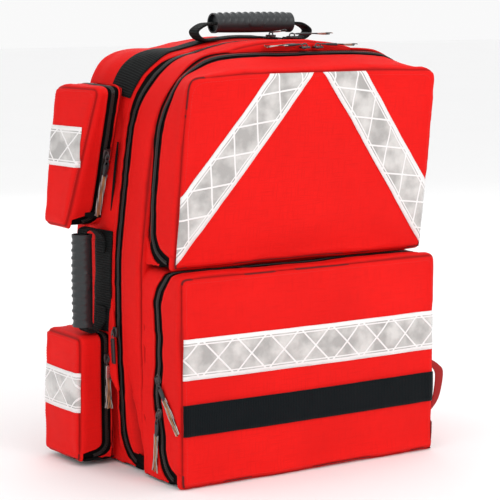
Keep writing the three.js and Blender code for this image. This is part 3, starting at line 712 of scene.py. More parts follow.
def crowned(ring):
    """The body's bulging sides and arched crown."""
    x, h = ring[:, 0], ring[:, 1]
    inner = np.clip(1 - (x / (BODY_HALF - TOP_CORNER)) ** 2, 0, 1)
    grown = ring.copy()
    grown[:, 0] += np.sign(x) * (side_at(h) - BODY_HALF) * (np.abs(x) / BODY_HALF) ** 4
    grown[:, 1] += np.where(h > CROWN_EDGE - 1, CROWN_RISE * inner, 0)
    return grown


def corners(width, low, high, low_round, high_round):
    half = width / 2
    return [(-half, low, low_round), (half, low, low_round),
            (half, high, high_round), (-half, high, high_round)]


def wander(ring):
    """The lower zip strays to and fro, and turns forward under the pocket's top corners."""
    return np.interp(ring[:, 1], [58, 84, 110, 143, 180, 219, 236, 250], [5, 0, -4, 2, 3, -4, 4, 13])


BODY_OUTLINE = corners(2 * BODY_HALF, 0, CROWN_EDGE, GROUND_CORNER, TOP_CORNER)
body = Pocket(BODY_OUTLINE, list(BODY_OUTLINE), depth=BODY_DEPTH, zip_at=TRAY_DEPTH, wall=8, turn=ZIP_TURN,
              world=body_world, reshape=crowned, step=6)
body.hinge = 160
UPPER_BASE, LOWER_BASE = 264, 2
UPPER_FACE_HEIGHT = 232
upper = Pocket(corners(376, low=0, high=256, low_round=3, high_round=72),
               corners(368, low=0, high=UPPER_FACE_HEIGHT, low_round=3, high_round=18),
               depth=61, zip_at=UPPER_ZIP, wall=5, turn=ZIP_TURN, world=front_world(UPPER_BASE))
lower = Pocket(corners(384, low=0, high=259, low_round=6, high_round=24),
               corners(378, low=0, high=254, low_round=6, high_round=9),
               depth=86, zip_at=LOWER_ZIP, wall=5, turn=ZIP_TURN, world=front_world(LOWER_BASE),
               meander=wander)
POUCH_BASE = {"upper": 302, "lower": 8}
POUCH_TURN, POUCH_HEM, POUCH_CROWN = ZIP_TURN * 0.36, 7, 9
pouches = {}
for side, sign in (("left", -1), ("right", 1)):
    for tier, width, high, tilt in (("upper", UPPER_POUCH_FLOOR, UPPER_POUCH_HEIGHT + POUCH_CROWN, 16),
                                    ("lower", POUCH_WIDTH, LOWER_POUCH_HEIGHT, 0)):
        pouches[tier, side] = Pocket(
            corners(width, low=0, high=high, low_round=6, high_round=16),
            corners(width - 6, low=0, high=high - 5, low_round=6, high_round=10),
            depth=51, zip_at=POUCH_ZIP, wall=3, turn=POUCH_TURN,
            world=side_world(sign, POUCH_BASE[tier], POUCH_REAR - width / 2, tier == "upper"),
            flare=3, tilt=tilt, step=3.6, slant=POUCH_WIDTH - width, front=-sign)
        pouches[tier, side].hem = POUCH_HEM


def gusset(pocket, start, end, seams, puff, step, only):
    """A side band, with a stitched seam or a turned hem at each of its edges."""
    wide = np.maximum(0.5, (end - start) * pocket.depth)
    cuts = spaced(max(36.0, wide.max()), step, SEAM_STEPS, SEAM_STEPS)
    if wide.max() < 36:
        cuts = np.linspace(0, 1, 9)
    points, cloth, lift = pocket.strip(start, end, cuts, 0.0, only)
    wide = wide[only][:, None]
    near, far = wide * cuts, wide * (1 - cuts)
    lift = puff * 4 * (cuts * (1 - cuts)) * np.minimum(1, wide / 45)
    shade = 0 * lift
    for distance, seam in ((near, seams[0]), (far, seams[1])):
        lift = lift + (seam_lift(distance) if seam else 0.9 * np.exp(-(distance / 2.5) ** 2))
        # painted shade in the groove of each seam
        shade = shade + (seam_shade(distance) if seam else 0)
    return points, cloth, lift, shade


def face(pocket, ring, puff):
    """A panel that fills a ring, puffed out between its seams."""
    flat, cloth, edge = pocket.panel(ring)
    u, v = pocket.long_cut[:, None] * 2 - 1, pocket.side_cut[None, :] * 2 - 1
    lift = seam_lift(edge) + puff * (1 - np.abs(u) ** 3.2) * (1 - np.abs(v) ** 3.2)
    # the last value is the painted shade in the seam grooves round the panel
    return pocket.world(flat), cloth, lift, seam_shade(edge)


def every(pocket, share):
    return np.full(len(pocket.back), float(share))


surfaces = {}


def make_body():
    red, base, inside = CLOTH["red_cordura"], CLOTH["base_cloth"], CLOTH["lining"]
    floor, walls = np.arange(0, body.columns + 1), body.open
    rear = body.zip_share(HEM)
    patches = [gusset(body, every(body, 0), rear, (True, False), 3.0, 7, walls),
               gusset(body, every(body, 0), rear, (True, False), 0.0, 7, floor),
               face(body, body.back, 2.0)]
    tray, shell = sew("tray_shell", patches, (red, base), 6, 1.2, flips=(2,), groups=(0, 1, 0), inner=inside)
    surfaces["tray"] = surface_of(shell)
    piece(tray, "pack", "red_cordura", "back_panel", "tray_gusset", "tray_base")
    front = body.zip_share(-HEM)
    patches = [gusset(body, front, every(body, 1), (False, True), 2.0, 6, walls),
               gusset(body, front, every(body, 1), (False, True), 0.0, 6, floor),
               face(body, body.face, 1.0)]
    lid, shell = sew("lid_shell", patches, (red, base), 5, 1.2, groups=(0, 1, 0), inner=inside)
    surfaces["lid"] = surface_of(shell)
    piece(lid, "lid", "red_cordura", "lid_panel", "lid_gusset")


BOX_REAR = 4


def make_pocket(name, pocket, body_name, flap_body, frame_nodes, flap_nodes, puff, thickness, start=0.0,
                side_puff=2.0, wrinkle=1.0):
    red, base, inside = CLOTH["red_cordura"], CLOTH["base_cloth"], CLOTH["lining"]
    floor, walls = np.arange(0, pocket.columns + 1), pocket.open
    rear, front = pocket.zip_share(pocket.hem), pocket.zip_share(-pocket.hem)
    first = every(pocket, start)
    patches = [gusset(pocket, first, rear, (False, False), side_puff, 5, walls),
               gusset(pocket, first, rear, (False, False), 0.0, 5, floor)]
    patches.append(face(pocket, pocket.ring(every(pocket, BOX_REAR / pocket.depth)), 0.0))
    floor_cloth = red if "pouch" in name else base
    box, shell = sew(name + "_box", patches, (red, floor_cloth), thickness, wrinkle, flips=(2,),
                     groups=(0, 1, 0), inner=inside)
    surfaces[name + "_box"] = surface_of(shell)
    piece(box, body_name, "red_cordura", *frame_nodes)
    patches = [gusset(pocket, front, every(pocket, 1), (False, True), side_puff, 5, walls),
               gusset(pocket, front, every(pocket, 1), (False, True), 0.0, 5, floor),
               face(pocket, pocket.face, puff)]
    flap, shell = sew(name + "_flap_shell", patches, (red,), thickness, wrinkle, inner=inside)
    surfaces[name + "_flap"] = surface_of(shell)
    piece(flap, flap_body, "red_cordura", *flap_nodes)


# ------------------------------------------------------------------ zips, stitches and other repeats
def follow(points):
    steps = np.linalg.norm(np.diff(points, axis=0), axis=1)
    return np.concatenate([[0], np.cumsum(steps)])


def evenly(pitch, *lines):
    """Resamples lines that run together at an even pitch along the first of them."""
    length = follow(lines[0])
    wanted = np.arange(pitch / 2, length[-1], pitch)
    return [np.stack([np.interp(wanted, length, line[:, k]) for k in range(3)], 1) for line in lines]


def unit(v):
    return v / np.maximum(1e-9, np.linalg.norm(v, axis=-1, keepdims=True))


def beads(points, along_axis, across_axis, normal, size, shift=(0, 0, 0), taper=0.7):
    """A small tapered block at each point: its vertices and faces."""
    a, b, c = (s / 2 for s in size)
    low = np.array([[-a, -b, -c], [a, -b, -c], [a, b, -c], [-a, b, -c]])
    high = low * [taper, taper, -1]
    shape = np.concatenate([low, high]) + shift
    axes = np.stack([along_axis, across_axis, normal], 1)
    vertices = points[:, None] + np.einsum("kj,ijl->ikl", shape, axes)
    quads = np.array([[3, 2, 1, 0], [4, 5, 6, 7], [0, 1, 5, 4], [1, 2, 6, 5], [2, 3, 7, 6], [3, 0, 4, 7]])
    faces = quads[None] + 8 * np.arange(len(points))[:, None, None]
    return vertices.reshape(-1, 3), faces.reshape(-1, 4)


def tube(points, across_axis, normal, radius, sides=8):
    """A closed tube along points."""
    turn = np.arange(sides) * 2 * math.pi / sides
    ring = np.cos(turn)[None, :, None] * across_axis[:, None] + np.sin(turn)[None, :, None] * normal[:, None]
    radius = np.broadcast_to(np.asarray(radius, float), (len(points),))
    vertices = (points[:, None] + radius[:, None, None] * ring).reshape(-1, 3)
    k = np.arange((len(points) - 1) * sides).reshape(-1, sides)
    nxt = np.roll(k, -1, 1)
    faces = np.stack([k, nxt, nxt + sides, k + sides], -1).reshape(-1, 4).tolist()
    last = len(vertices) - sides
    faces += [list(range(sides))[::-1], list(range(last, last + sides))]
    return vertices, faces


def joined(name, parts, materials, angle):
    """One object from several (vertices, faces, material number) parts."""
    vertices, faces, groups, start = [], [], [], 0
    for v, f, k in parts:
        vertices.append(v)
        faces += [[i + start for i in one] for one in f]
        groups += [k] * len(f)
        start += len(v)
    return finish_mesh(name, np.concatenate(vertices), faces, None, materials, angle=angle, groups=groups)


TEETH_PITCH, COIL_WIDTH = 3.0, 2.2


def zip_half(name, pocket, off_sign, body_name, wrinkle, node=None):
    """Half a coil zip: its tape, and its teeth, which mesh with the other half's."""
    edge, near = pocket.zip_share(off_sign * (pocket.hem + 2)), pocket.zip_share(off_sign * 0.4)
    start, end = (edge, near) if off_sign > 0 else (near, edge)
    points, cloth, lift = pocket.strip(start, end, np.linspace(0, 1, 5), -0.9, pocket.open)
    tape = sew(name + "_tape_cloth", [(points, cloth, lift)], (CLOTH["zip_tape"],), 1.0, wrinkle,
               smooth=0)[0]
    piece(tape, body_name, "zip_tape", *([node] if node else []))
    share = pocket.zip_share(0)
    keep = pocket.open[pocket.back[pocket.open, 1] >= pocket.floor]
    line = pocket.world(pocket.ring(share))[keep]
    ahead = pocket.world(pocket.ring(share + 2 / pocket.depth))[keep]
    along_axis = unit(np.gradient(line, axis=0))
    across_axis = unit(ahead - line)
    across_axis = unit(across_axis - (across_axis * along_axis).sum(1, keepdims=True) * along_axis)
    normal = np.cross(along_axis, across_axis)
    rise = np.array([wrinkle * crease(p) for p in line])[:, None]
    line = line + normal * rise
    p, a, c, n = evenly(TEETH_PITCH, line, along_axis, across_axis, normal)
    if off_sign > 0:
        p = p + a * TEETH_PITCH / 2
    a, c, n = unit(a), unit(c), unit(n)
    sign = -off_sign
    teeth = beads(p, a, c, n, (1.3, COIL_WIDTH, 1.6), (0, sign * 0.6, 0.3), 0.72)
    cord = tube(line + across_axis * sign * 1.7, across_axis, normal, 0.6, 6)
    coil = joined(name + "_coil", [(*teeth, 0), (*cord, 1)], (CLOTH["coil"], CLOTH["black_plastic"]), 50)
    piece(coil, body_name, "zip_tape")


def stitch(name, surface, lines, body_name, material="red_thread", slot="red_cordura", pitch=3.6, gauge=0.55):
    """Rows of stitches laid on a surface along lines."""
    parts = []
    for line in lines:
        hits = [surface.find_nearest(Vector(p) * MM) for p in line]
        place = np.array([h[0] for h in hits]) / MM
        normal = unit(np.array([h[1] for h in hits]))
        if follow(place)[-1] < 2 * pitch:
            continue
        p, n = evenly(pitch, place, normal)
        a = unit(np.gradient(p, axis=0)) if len(p) > 1 else p
        n = unit(n)
        c = unit(np.cross(n, a))
        parts.append((*beads(p, a, c, n, (pitch * 0.74, gauge, gauge), (0, 0, 0.1), 0.6), 0))
    made = joined(name, parts, (CLOTH[material],), 60)
    return piece(made, body_name, slot)


def lay_tape(name, pocket, surface, edges, material, body_name, slot, nodes=(), lift=0.35, thickness=0.9,
             rows=9, step=4.0, turned=False):
    """A flat tape on a pocket's face. edges gives its two long sides, as (x, h) points from start to end."""
    (a0, a1), (b0, b1) = (np.array(e, float) for e in edges)
    count = max(4, int(max(np.linalg.norm(a1 - a0), np.linalg.norm(b1 - b0)) / step))
    v = np.linspace(0, 1, rows)[None, :, None]
    t = np.linspace(0, 1, count)[:, None, None]
    flat = (1 - v) * (a0 + (a1 - a0) * t) + v * (b0 + (b1 - b0) * t)
    direction = unit((a1 - a0)[None])[0]
    sideways = np.array([-direction[1], direction[0]])
    cloth = np.stack([(flat - a0) @ direction, np.abs((flat - a0) @ sideways)], -1)
    reach = pocket.depth + 60
    top = pocket.world(np.concatenate([flat, np.full(flat.shape[:2] + (1,), reach)], -1))
    low = pocket.world(np.concatenate([flat, np.full(flat.shape[:2] + (1,), reach - 120)], -1))
    way = unit(low - top)
    points = np.empty_like(top)
    for i in range(count):
        for j in range(rows):
            hit = surface.ray_cast(Vector(top[i, j]) * MM, Vector(way[i, j]))
            spot = hit[0] if hit[0] is not None else surface.find_nearest(Vector(low[i, j]) * MM)[0]
            points[i, j] = np.array(spot) / MM - way[i, j] * lift
    tape = finish_mesh(name, points.reshape(-1, 3), grid_faces(count, rows, flip=turned),
                       cloth.reshape(-1, 2), (CLOTH[material],))
    apply_modifier(tape, "SOLIDIFY", thickness=thickness * MM, offset=1)
    return piece(tape, body_name, slot, *nodes)


FACE_HALF, FILM = 184, 50
CHEVRON_GAP, CHEVRON_SLOPE = 7, math.radians(37.8)


def make_tapes():
    top, reach = UPPER_FACE_HEIGHT, FILM / math.cos(CHEVRON_SLOPE)
    edge = FACE_HALF - 1.5
    for side, sign in (("left", -1), ("right", 1)):
        ends = []
        for start in (CHEVRON_GAP, CHEVRON_GAP + reach):
            drop = min(top - 1.5, (edge - start) / math.tan(CHEVRON_SLOPE))
            foot = start + drop * math.tan(CHEVRON_SLOPE)
            ends.append([(sign * start, top - 1.5), (sign * foot, top - drop)])
        lay_tape("reflective_chevron_" + side, upper, surfaces["upper_pocket_flap"], ends, "reflective",
                 "upper_flap", "reflective", ["reflective_tape_" + side], turned=sign < 0)
    for name, low, high, material, slot, node in (
            ("reflective_band", 132, 182, "reflective", "reflective", "reflective_tape_lower"),
            ("name_strip", 64, 102, "loop_tape", "loop_tape", "name_loop_strip")):
        ends = [[(-edge - 5, low), (edge + 5, low)], [(-edge - 5, high), (edge + 5, high)]]
        lay_tape(name, lower, surfaces["lower_pocket_flap"], ends, material, "lower_flap", slot, [node],
                 thickness=1.0 if material == "reflective" else 2.0)
    for (tier, side), pocket in pouches.items():
        low, high = (75, 125) if tier == "upper" else (62, 112)
        half = pocket.width / 2 - 3
        front = 1 if side == "left" else -1
        spread = (POUCH_WIDTH - pocket.width) * low / pocket.high
        ends = [[(-half - (spread if front < 0 else 0), h), (half + (spread if front > 0 else 0), h)]
                for h in (low, high)]
        name = f"pouch_{tier}_{side}"
        lay_tape(name + "_reflective", pocket, surfaces[name + "_flap"], ends, "reflective",
                 name + "_flap", "reflective")


def run(pocket, share, inset=0):
    """A line round a pocket at a share of its depth, as points to sew along."""
    line = pocket.world(pocket.ring(share))
    keep = pocket.open[pocket.back[pocket.open, 1] >= pocket.floor + inset]
    return line[keep]


def face_frame(pocket, inset):
    """A line round a face, moved in by inset, as points to sew along."""
    ring = pocket.face
    middle = np.array([0, ring[:, 1].max() / 2, 0])
    half = np.array([np.abs(ring[:, 0]).max(), ring[:, 1].max() / 2, 1])
    moved = middle + (ring - middle) * np.where(half > 1, (half - inset) / half, 1.0)
    moved[:, 2] = ring[:, 2]
    return pocket.world(moved)


def make_stitches():
    lines = [("tray_zip_stitches", "tray", "pack", [run(body, body.zip_share(HEM + 2.6), inset=12)]),
             ("lid_zip_stitches", "lid", "lid", [run(body, body.zip_share(-HEM - 2.6), inset=12)])]
    for name, pocket, flap in (("upper_pocket", upper, "upper_flap"), ("lower_pocket", lower, "lower_flap")):
        rear = run(pocket, pocket.zip_share(HEM + 2.6), inset=12)
        front = run(pocket, pocket.zip_share(-HEM - 2.6), inset=12)
        lines.append((name + "_rear_stitches", name + "_box", "lid", [rear]))
        lines.append((name + "_front_stitches", name + "_flap", flap, [front, face_frame(pocket, 6)]))
    for (tier, side), pocket in pouches.items():
        name = f"pouch_{tier}_{side}"
        front = run(pocket, pocket.zip_share(-pocket.hem - 2.2), inset=12)
        lines.append((name + "_front_stitches", name + "_flap", name + "_flap",
                      [front, face_frame(pocket, 5)]))
    for name, surface, body_name, rows in lines:
        stitch(name, surfaces[surface], rows, body_name)


def make_base_strips():
    """Black bindings that show under the front of the pocket and of the lower pouches."""
    x = np.array([1.0, 0, 0])
    y = np.linspace(-192, -119, 24)
    t = np.linspace(0, 1, 24)
    line = np.stack([np.zeros(24), y, np.full(24, 2.6)], 1)
    strip = pillow("lower_pocket_base", line, x, np.array([0, 0, 1.0]), np.full(24, 177.0),
                   2.3 * (0.5 + 0.5 * taper(t, 0.1)), "base_cloth", 40)
    piece(strip, "lid", "base_cloth")
    for side, sign in (("left", -1), ("right", 1)):
        y = np.linspace(-34, 52, 24)
        line = np.stack([np.full(24, sign * 212.0), y, np.full(24, 8.0)], 1)
        strip = pillow(f"pouch_lower_{side}_base", line, x, np.array([0, 0, 1.0]), np.full(24, 22.0),
                       2.6 * (0.5 + 0.5 * taper(t, 0.1)), "base_cloth", 40)
        piece(strip, "pack", "base_cloth")


def tab(name, points, sideways, outwards, width, thickness, material, body_name, ends=0.3):
    """A small sewn tab or fold: a flat rounded strip that narrows to its ends."""
    line = smooth_line(points, 22)
    t = np.linspace(0, 1, len(line))
    shape = ends + (1 - ends) * np.sin(math.pi * t) ** 0.7
    strip = pillow(name, line, np.array(sideways, float), np.array(outwards, float), width * shape,
                   thickness * (0.4 + 0.6 * shape), material, 24)
    return piece(strip, body_name, material)


def make_tabs():
    """Zip-end bars, the black edge beside the upper pouch, and the folds at the zips' low ends."""
    for (tier, side), pocket in pouches.items():
        sign = -1 if side == "left" else 1
        if tier == "upper":
            line = run(pocket, pocket.zip_share(0))
            low = line[line[:, 2] < POUCH_BASE[tier] + 14]
            spot = low[np.argmin(low[:, 1])]
            ends = [spot + np.array([-13 * sign, -1.6, -1.0]), spot + np.array([0, -2.2, 0]),
                    spot + np.array([13 * sign, -1.6, 1.0])]
            tab("pouch_upper_" + side + "_zip_end", ends, (0, 0, 1), (0, -1, 0), 3.6, 1.7, "base_cloth",
                "pouch_upper_" + side + "_flap", 0.7)
        edge = [(sign * (float(side_at(z)) + 0.8), ZIP_FACE + 25 + float(lean_at(z)), z)
                for z in ((322, 350, 380, 408) if tier == "upper" else (30, 60, 100, 140))]
        tab(f"pouch_{tier}_{side}_edge_piping", edge, (0, 1, 0), (sign, 0, 0), 1.7, 1.3, "base_cloth", "pack",
            0.6)
    # painted shade: this outer fold takes the darker red lining cloth because it stands in shadow
    tab("lower_pocket_zip_fold",
        [(191, -186, 118), (202, -189, 108), (208, -190, 96), (203, -189, 64), (190, -187, 44)],
        (1, 0, 0.2), (0, -1, 0), 6.5, 1.6, "lining", "lower_flap")
    # where the flank is met, how far off it the fold stands, how far behind the zip, and its height
    spots = [(210, 0.5, 16, 214), (160, 3, 11, 160), (122, 6, 5, 118), (100, 5, -2, 98)]
    gusset_fold = [(-(float(side_at(at)) + off), ZIP_FACE + behind, z) for at, off, behind, z in spots]
    tab("tray_gusset_fold", gusset_fold, (0, 1, 0.25), (-1, 0, 0), 9.0, 3.0, "red_cordura", "pack", 0.15)


def make_shells():
    make_body()
    make_pocket("upper_pocket", upper, "lid", "upper_flap", ["upper_pocket_frame"], ["upper_flap"], 4.0, 3.0)
    make_pocket("lower_pocket", lower, "lid", "lower_flap", ["lower_pocket_frame"], ["lower_flap"], 4.5, 3.0)
    for (tier, side), pocket in pouches.items():
        name = f"pouch_{tier}_{side}"
        make_pocket(name, pocket, "pack", name + "_flap", [name + "_tray"], [name + "_flap"], 4.0, 2.5,
                    start=0.17, side_puff=1.5, wrinkle=0.9)


def make_zips():
    zip_half("main_zip_rear", body, 1, "pack", 1.2, "main_zip_rear_tape")
    zip_half("main_zip_front", body, -1, "lid", 1.2, "main_zip_front_tape")
    for name, pocket, flap in (("upper_pocket", upper, "upper_flap"), ("lower_pocket", lower, "lower_flap")):
        zip_half(name + "_zip_rear", pocket, 1, "lid", 1.0)
        zip_half(name + "_zip_front", pocket, -1, flap, 1.0)
    for (tier, side), pocket in pouches.items():
        name = f"pouch_{tier}_{side}"
        zip_half(name + "_zip_rear", pocket, 1, "pack", 0.9)
        zip_half(name + "_zip_front", pocket, -1, name + "_flap", 0.9)


def stage():
    bpy.ops.mesh.primitive_plane_add(size=30, location=(0, 0, 0))
    floor = bpy.context.active_object
    floor.name = "studio_floor"
    material, n, surface, places = new_material("pale floor", roughness=0.85, specular_ior_level=0.2)
    cloud = n.noise(places["Object"], 3.0, 3.0)
    n.put(surface["Base Color"], n.mix(cloud, (0.955, 0.955, 0.957, 1), (0.975, 0.975, 0.976, 1)))
    floor.data.materials.append(material)


# ------------------------------------------------------------------ webbing
def smooth_line(points, count):
    """A Catmull-Rom line through points."""
    p = np.array(points, float)
    p = np.concatenate([[2 * p[0] - p[1]], p, [2 * p[-1] - p[-2]]])
    spans = len(p) - 3
    out = []
    for s in np.linspace(0, spans - 1e-9, count):
        k, t = int(s), s - int(s)
        a, b, c, d = p[k:k + 4]
        out.append(0.5 * (2 * b + (c - a) * t + (2 * a - 5 * b + 4 * c - d) * t ** 2
                          + (3 * b - a - 3 * c + d) * t ** 3))
    return np.array(out)


def strap(name, line, sideways, width, thickness, material="black_webbing", rows=7):
    """Flat webbing along a line, its selvedges a little thinner."""
    v = np.linspace(-0.5, 0.5, rows)
    sideways = np.broadcast_to(unit(np.asarray(sideways, float)), line.shape)
    points = line[:, None] + sideways[:, None] * (v * width)[None, :, None]
    u = follow(line)
    cloth = np.stack(np.broadcast_arrays(u[:, None], (v * width)[None]), -1)
    made = finish_mesh(name, points.reshape(-1, 3), grid_faces(len(line), rows), cloth.reshape(-1, 2),
                       (CLOTH[material],))
    apply_modifier(made, "SOLIDIFY", thickness=thickness * MM, offset=0)
    apply_modifier(made, "BEVEL", width=thickness * 0.3 * MM, segments=2, limit_method="ANGLE")
    return made


BAND_TUCK, CROWN_RUN, ANCHOR_RUN = 17, 462, (168, 302)


def make_band():
    """The carrying band, sewn flat round the tray: over the crown, and under the side grip."""
    depth = body.depth
    rear, front = BACK_FACE - (BAND_FRONT + BAND_WIDTH), BACK_FACE - BAND_FRONT
    tucked = np.clip((150 - np.abs(body.back[:, 0])) / 45, 0, 1) * (body.back[:, 1] > 400)
    front_edge = every(body, front / depth) - BAND_TUCK / depth * tucked
    rear_edge = every(body, rear / depth)
    points, cloth = body.strip(rear_edge, front_edge, np.linspace(0, 1, 9), 0.0, body.open)[:2]
    height, left = points[:, 0, 2], points[:, 0, 0] < 0
    runs = (("carry_band_webbing", height > CROWN_RUN),
            ("side_anchor_webbing", left & (height > ANCHOR_RUN[0]) & (height < ANCHOR_RUN[1])))
    for name, keep in runs:
        flat, length = points[keep].reshape(-1, 3).copy(), int(keep.sum())
        for k, p in enumerate(flat):
            place, normal = surfaces["tray"].find_nearest(Vector(p) * MM)[:2]
            flat[k] = np.array(place) / MM + np.array(normal) * 0.5
        band = finish_mesh(name, flat, grid_faces(length, 9), cloth[keep].reshape(-1, 2),
                           (CLOTH["black_webbing"],))
        apply_modifier(band, "SMOOTH", factor=0.5, iterations=3)
        apply_modifier(band, "SOLIDIFY", thickness=1.9 * MM, offset=1)
        piece(band, "pack", "black_webbing", *(["carry_band"] if name == "carry_band_webbing" else []))


TOP_PIVOT = np.array([0, BAND_FRONT + BAND_WIDTH / 2 + float(lean_at(531)), 532.5])
SIDE_PIVOT = np.array([-206.3, BAND_FRONT + BAND_WIDTH / 2, 235.0])
GRIP_LENGTH, GRIP_RADIUS, RIDGE_PITCH = 116, 13.5, 9.5
HANDLE_WIDTH, HANDLE_THICKNESS = 21, 3.0


def grip_mesh(name, place, rise):
    """A ridged rubber grip with open, rimmed ends and a blank oval on each cheek."""
    half, sides = GRIP_LENGTH / 2, 48
    outer = np.linspace(-half, half, 121)
    turn = np.arange(sides) * 2 * math.pi / sides
    rings = []
    for u in outer:
        rim = 0.9 / (1 + np.exp(-(abs(u) - half + 4.5) * 2.2))
        barrel = GRIP_RADIUS - 0.9 - 0.7 * (u / half) ** 2
        out = np.clip(np.sin(turn), 0, 1) ** 0.8
        ridge = 1.5 * out * max(0, math.cos(u * 2 * math.pi / RIDGE_PITCH)) ** 0.7 * (abs(u) < half - 9)
        cheek = np.minimum(np.abs(turn), np.abs(turn - math.pi)) * GRIP_RADIUS
        oval = np.clip(1 - (u / 13) ** 2 - (cheek / 7.5) ** 2, 0, 1)
        slit = -1.1 * np.exp(-((turn - 1.5 * math.pi) / 0.09) ** 2)
        rings.append((u, barrel + rim + ridge + 1.1 * np.minimum(1, oval * 4) + slit))
    lip = [(half, 11.0), (half - 5, 10.2), (half - 5, 0.4)]
    rings = [(-u, np.full(sides, r)) for u, r in lip[::-1]] + rings + [(u, np.full(sides, r)) for u, r in lip]
    vertices = np.array([place(u, r * np.cos(turn), rise + r * np.sin(turn)) for u, r in rings])
    vertices = np.swapaxes(vertices, 1, 2).reshape(-1, 3)
    k = np.arange((len(rings) - 1) * sides).reshape(-1, sides)
    nxt = np.roll(k, -1, 1)
    faces = np.stack([k, k + sides, nxt + sides, nxt], -1).reshape(-1, 4).tolist()
    last = len(vertices) - sides
    faces += [list(range(sides)), list(range(last, last + sides))[::-1]]
    return finish_mesh(name, vertices, faces, None, (CLOTH["grip_rubber"],), angle=50)


def recalculate(obj):
    only_select(obj)
    bpy.ops.object.mode_set(mode="EDIT")
    bpy.ops.mesh.select_all(action="SELECT")
    bpy.ops.mesh.normals_make_consistent(inside=False)
    bpy.ops.object.mode_set(mode="OBJECT")
    return obj


def make_handles():
    def top_place(u, v, w):
        return np.stack(np.broadcast_arrays(TOP_PIVOT[0] + u, TOP_PIVOT[1] + v, TOP_PIVOT[2] + w))

    def side_place(u, v, w):
        return np.stack(np.broadcast_arrays(SIDE_PIVOT[0] - w, SIDE_PIVOT[1] + v, SIDE_PIVOT[2] + u))

    for name, place, rise, reach, drop, foot in (
            ("top", top_place, 19.5, 84, -1.4, 0.9), ("side", side_place, 20, 64, -6.5, 0)):
        half = [(40, rise), (58, rise - 0.5), ((reach + 58) / 2 + 2, rise * 0.9), (reach + 1, rise * 0.52),
                (reach - 2, rise * 0.14), (reach - 12, drop), (reach - 30, drop + foot)]
        flat = smooth_line([(-u, v) for u, v in half[::-1]] + half, 150)
        line = np.array([place(u, 0.0, w) for u, w in flat])
        webbing = strap(name + "_handle_strap", line, (0, 1, 0), HANDLE_WIDTH, HANDLE_THICKNESS)
        piece(webbing, name + "_handle", "black_webbing", name + "_handle_webbing")
        grip = recalculate(grip_mesh(name + "_grip_cover", place, rise))
        piece(grip, name + "_handle", "grip_rubber", name + "_grip")


# ------------------------------------------------------------------ sliders and pulls
def primitive(adder, **settings):
    for other in bpy.context.selected_objects:
        other.select_set(False)
    adder(**settings)
    return bpy.context.active_object


def in_place(obj):
    only_select(obj)
    bpy.ops.object.transform_apply(location=True, rotation=True, scale=True)
    return obj


def join(objs):
    only_select(objs[0])
    for other in objs[1:]:
        other.select_set(True)
    bpy.ops.object.join()
    return bpy.context.active_object


def slider_template():
    """A coil slider in its own frame, in metres: a waisted plate, side flanges and the crown loop."""
    plate = primitive(bpy.ops.mesh.primitive_cube_add, size=1, location=(0, 0, 0.002))
    plate.scale = (0.0125, 0.0095, 0.0026)
    in_place(plate)
    only_select(plate)
    bpy.ops.object.mode_set(mode="EDIT")
    bpy.ops.mesh.select_all(action="SELECT")
    bpy.ops.mesh.subdivide(number_cuts=3)
    bpy.ops.object.mode_set(mode="OBJECT")
    for v in plate.data.vertices:
        waist = 1 - 0.26 * max(0, -v.co.x / 0.006) ** 1.5 - 0.1 * max(0, v.co.x / 0.006) ** 4
        v.co.y *= waist
    apply_modifier(plate, "BEVEL", width=0.0006, segments=2, limit_method="ANGLE")
    crown = primitive(bpy.ops.mesh.primitive_torus_add, major_radius=0.0032, minor_radius=0.0008,
                      major_segments=20, minor_segments=8, location=(0, 0, 0.0036),
                      rotation=(math.pi / 2, 0, 0))
    crown.scale = (1.25, 1, 0.95)
    in_place(crown)
    made = join([plate, crown])
    made.name = "slider_template"
    return made


def link(start, end, width, thickness, material):
    """A rounded bar between two places along the pull, which lies towards -x, in metres."""
    bar = primitive(bpy.ops.mesh.primitive_cube_add, size=1, location=((start + end) / 2, 0, 0))
    bar.scale = (abs(end - start), width, thickness)
    in_place(bar)
    apply_modifier(bar, "BEVEL", width=thickness * 0.42, segments=3)
    bar.data.materials.append(CLOTH[material])
    return bar


def loop_of_wire(start, end, width, gauge, material):
    """An oval ring of round wire between two places along the pull, in metres."""
    ring = primitive(bpy.ops.mesh.primitive_torus_add, major_radius=0.5, minor_radius=gauge,
                     major_segments=28, minor_segments=8, location=((start + end) / 2, 0, 0))
    for v in ring.data.vertices:
        flat = Vector((v.co.x, v.co.y, 0))
        rim = flat.normalized() * 0.5
        tube_part = flat - rim
        v.co.x = rim.x * abs(end - start) + tube_part.x
        v.co.y = rim.y * width + tube_part.y
    in_place(ring)
    ring.data.materials.append(CLOTH[material])
    return ring


def ribbon(start, end, seed):
    """Four loose strands of striped ribbon, side by side, a little fanned and curled."""
    strands = []
    for k in range(4):
        t = np.linspace(0, 1, 16)
        spot = k - 1.5
        x = start + (end - start) * t * (1 - 0.03 * (k % 2))
        y = spot * 0.0019 * (1 + 0.45 * t ** 1.4) + 0.0010 * np.sin(3 * t + seed) * t
        z = 0.0011 * np.sin(4 * t + 2 * seed + 1.1 * k) * t + 0.0003 * k
        line = np.stack([x, y, z], 1) / MM
        strands.append(strap("strand", line, (0, 1, 0), 2.3, 0.9, "pull_cord", 4))
        for loop in strands[-1].data.uv_layers["cloth"].data:
            loop.uv.y += 0.0024 * k
    return strands


SLIDER_LIFT, PIN_HEIGHT = 0.0012, 0.0061


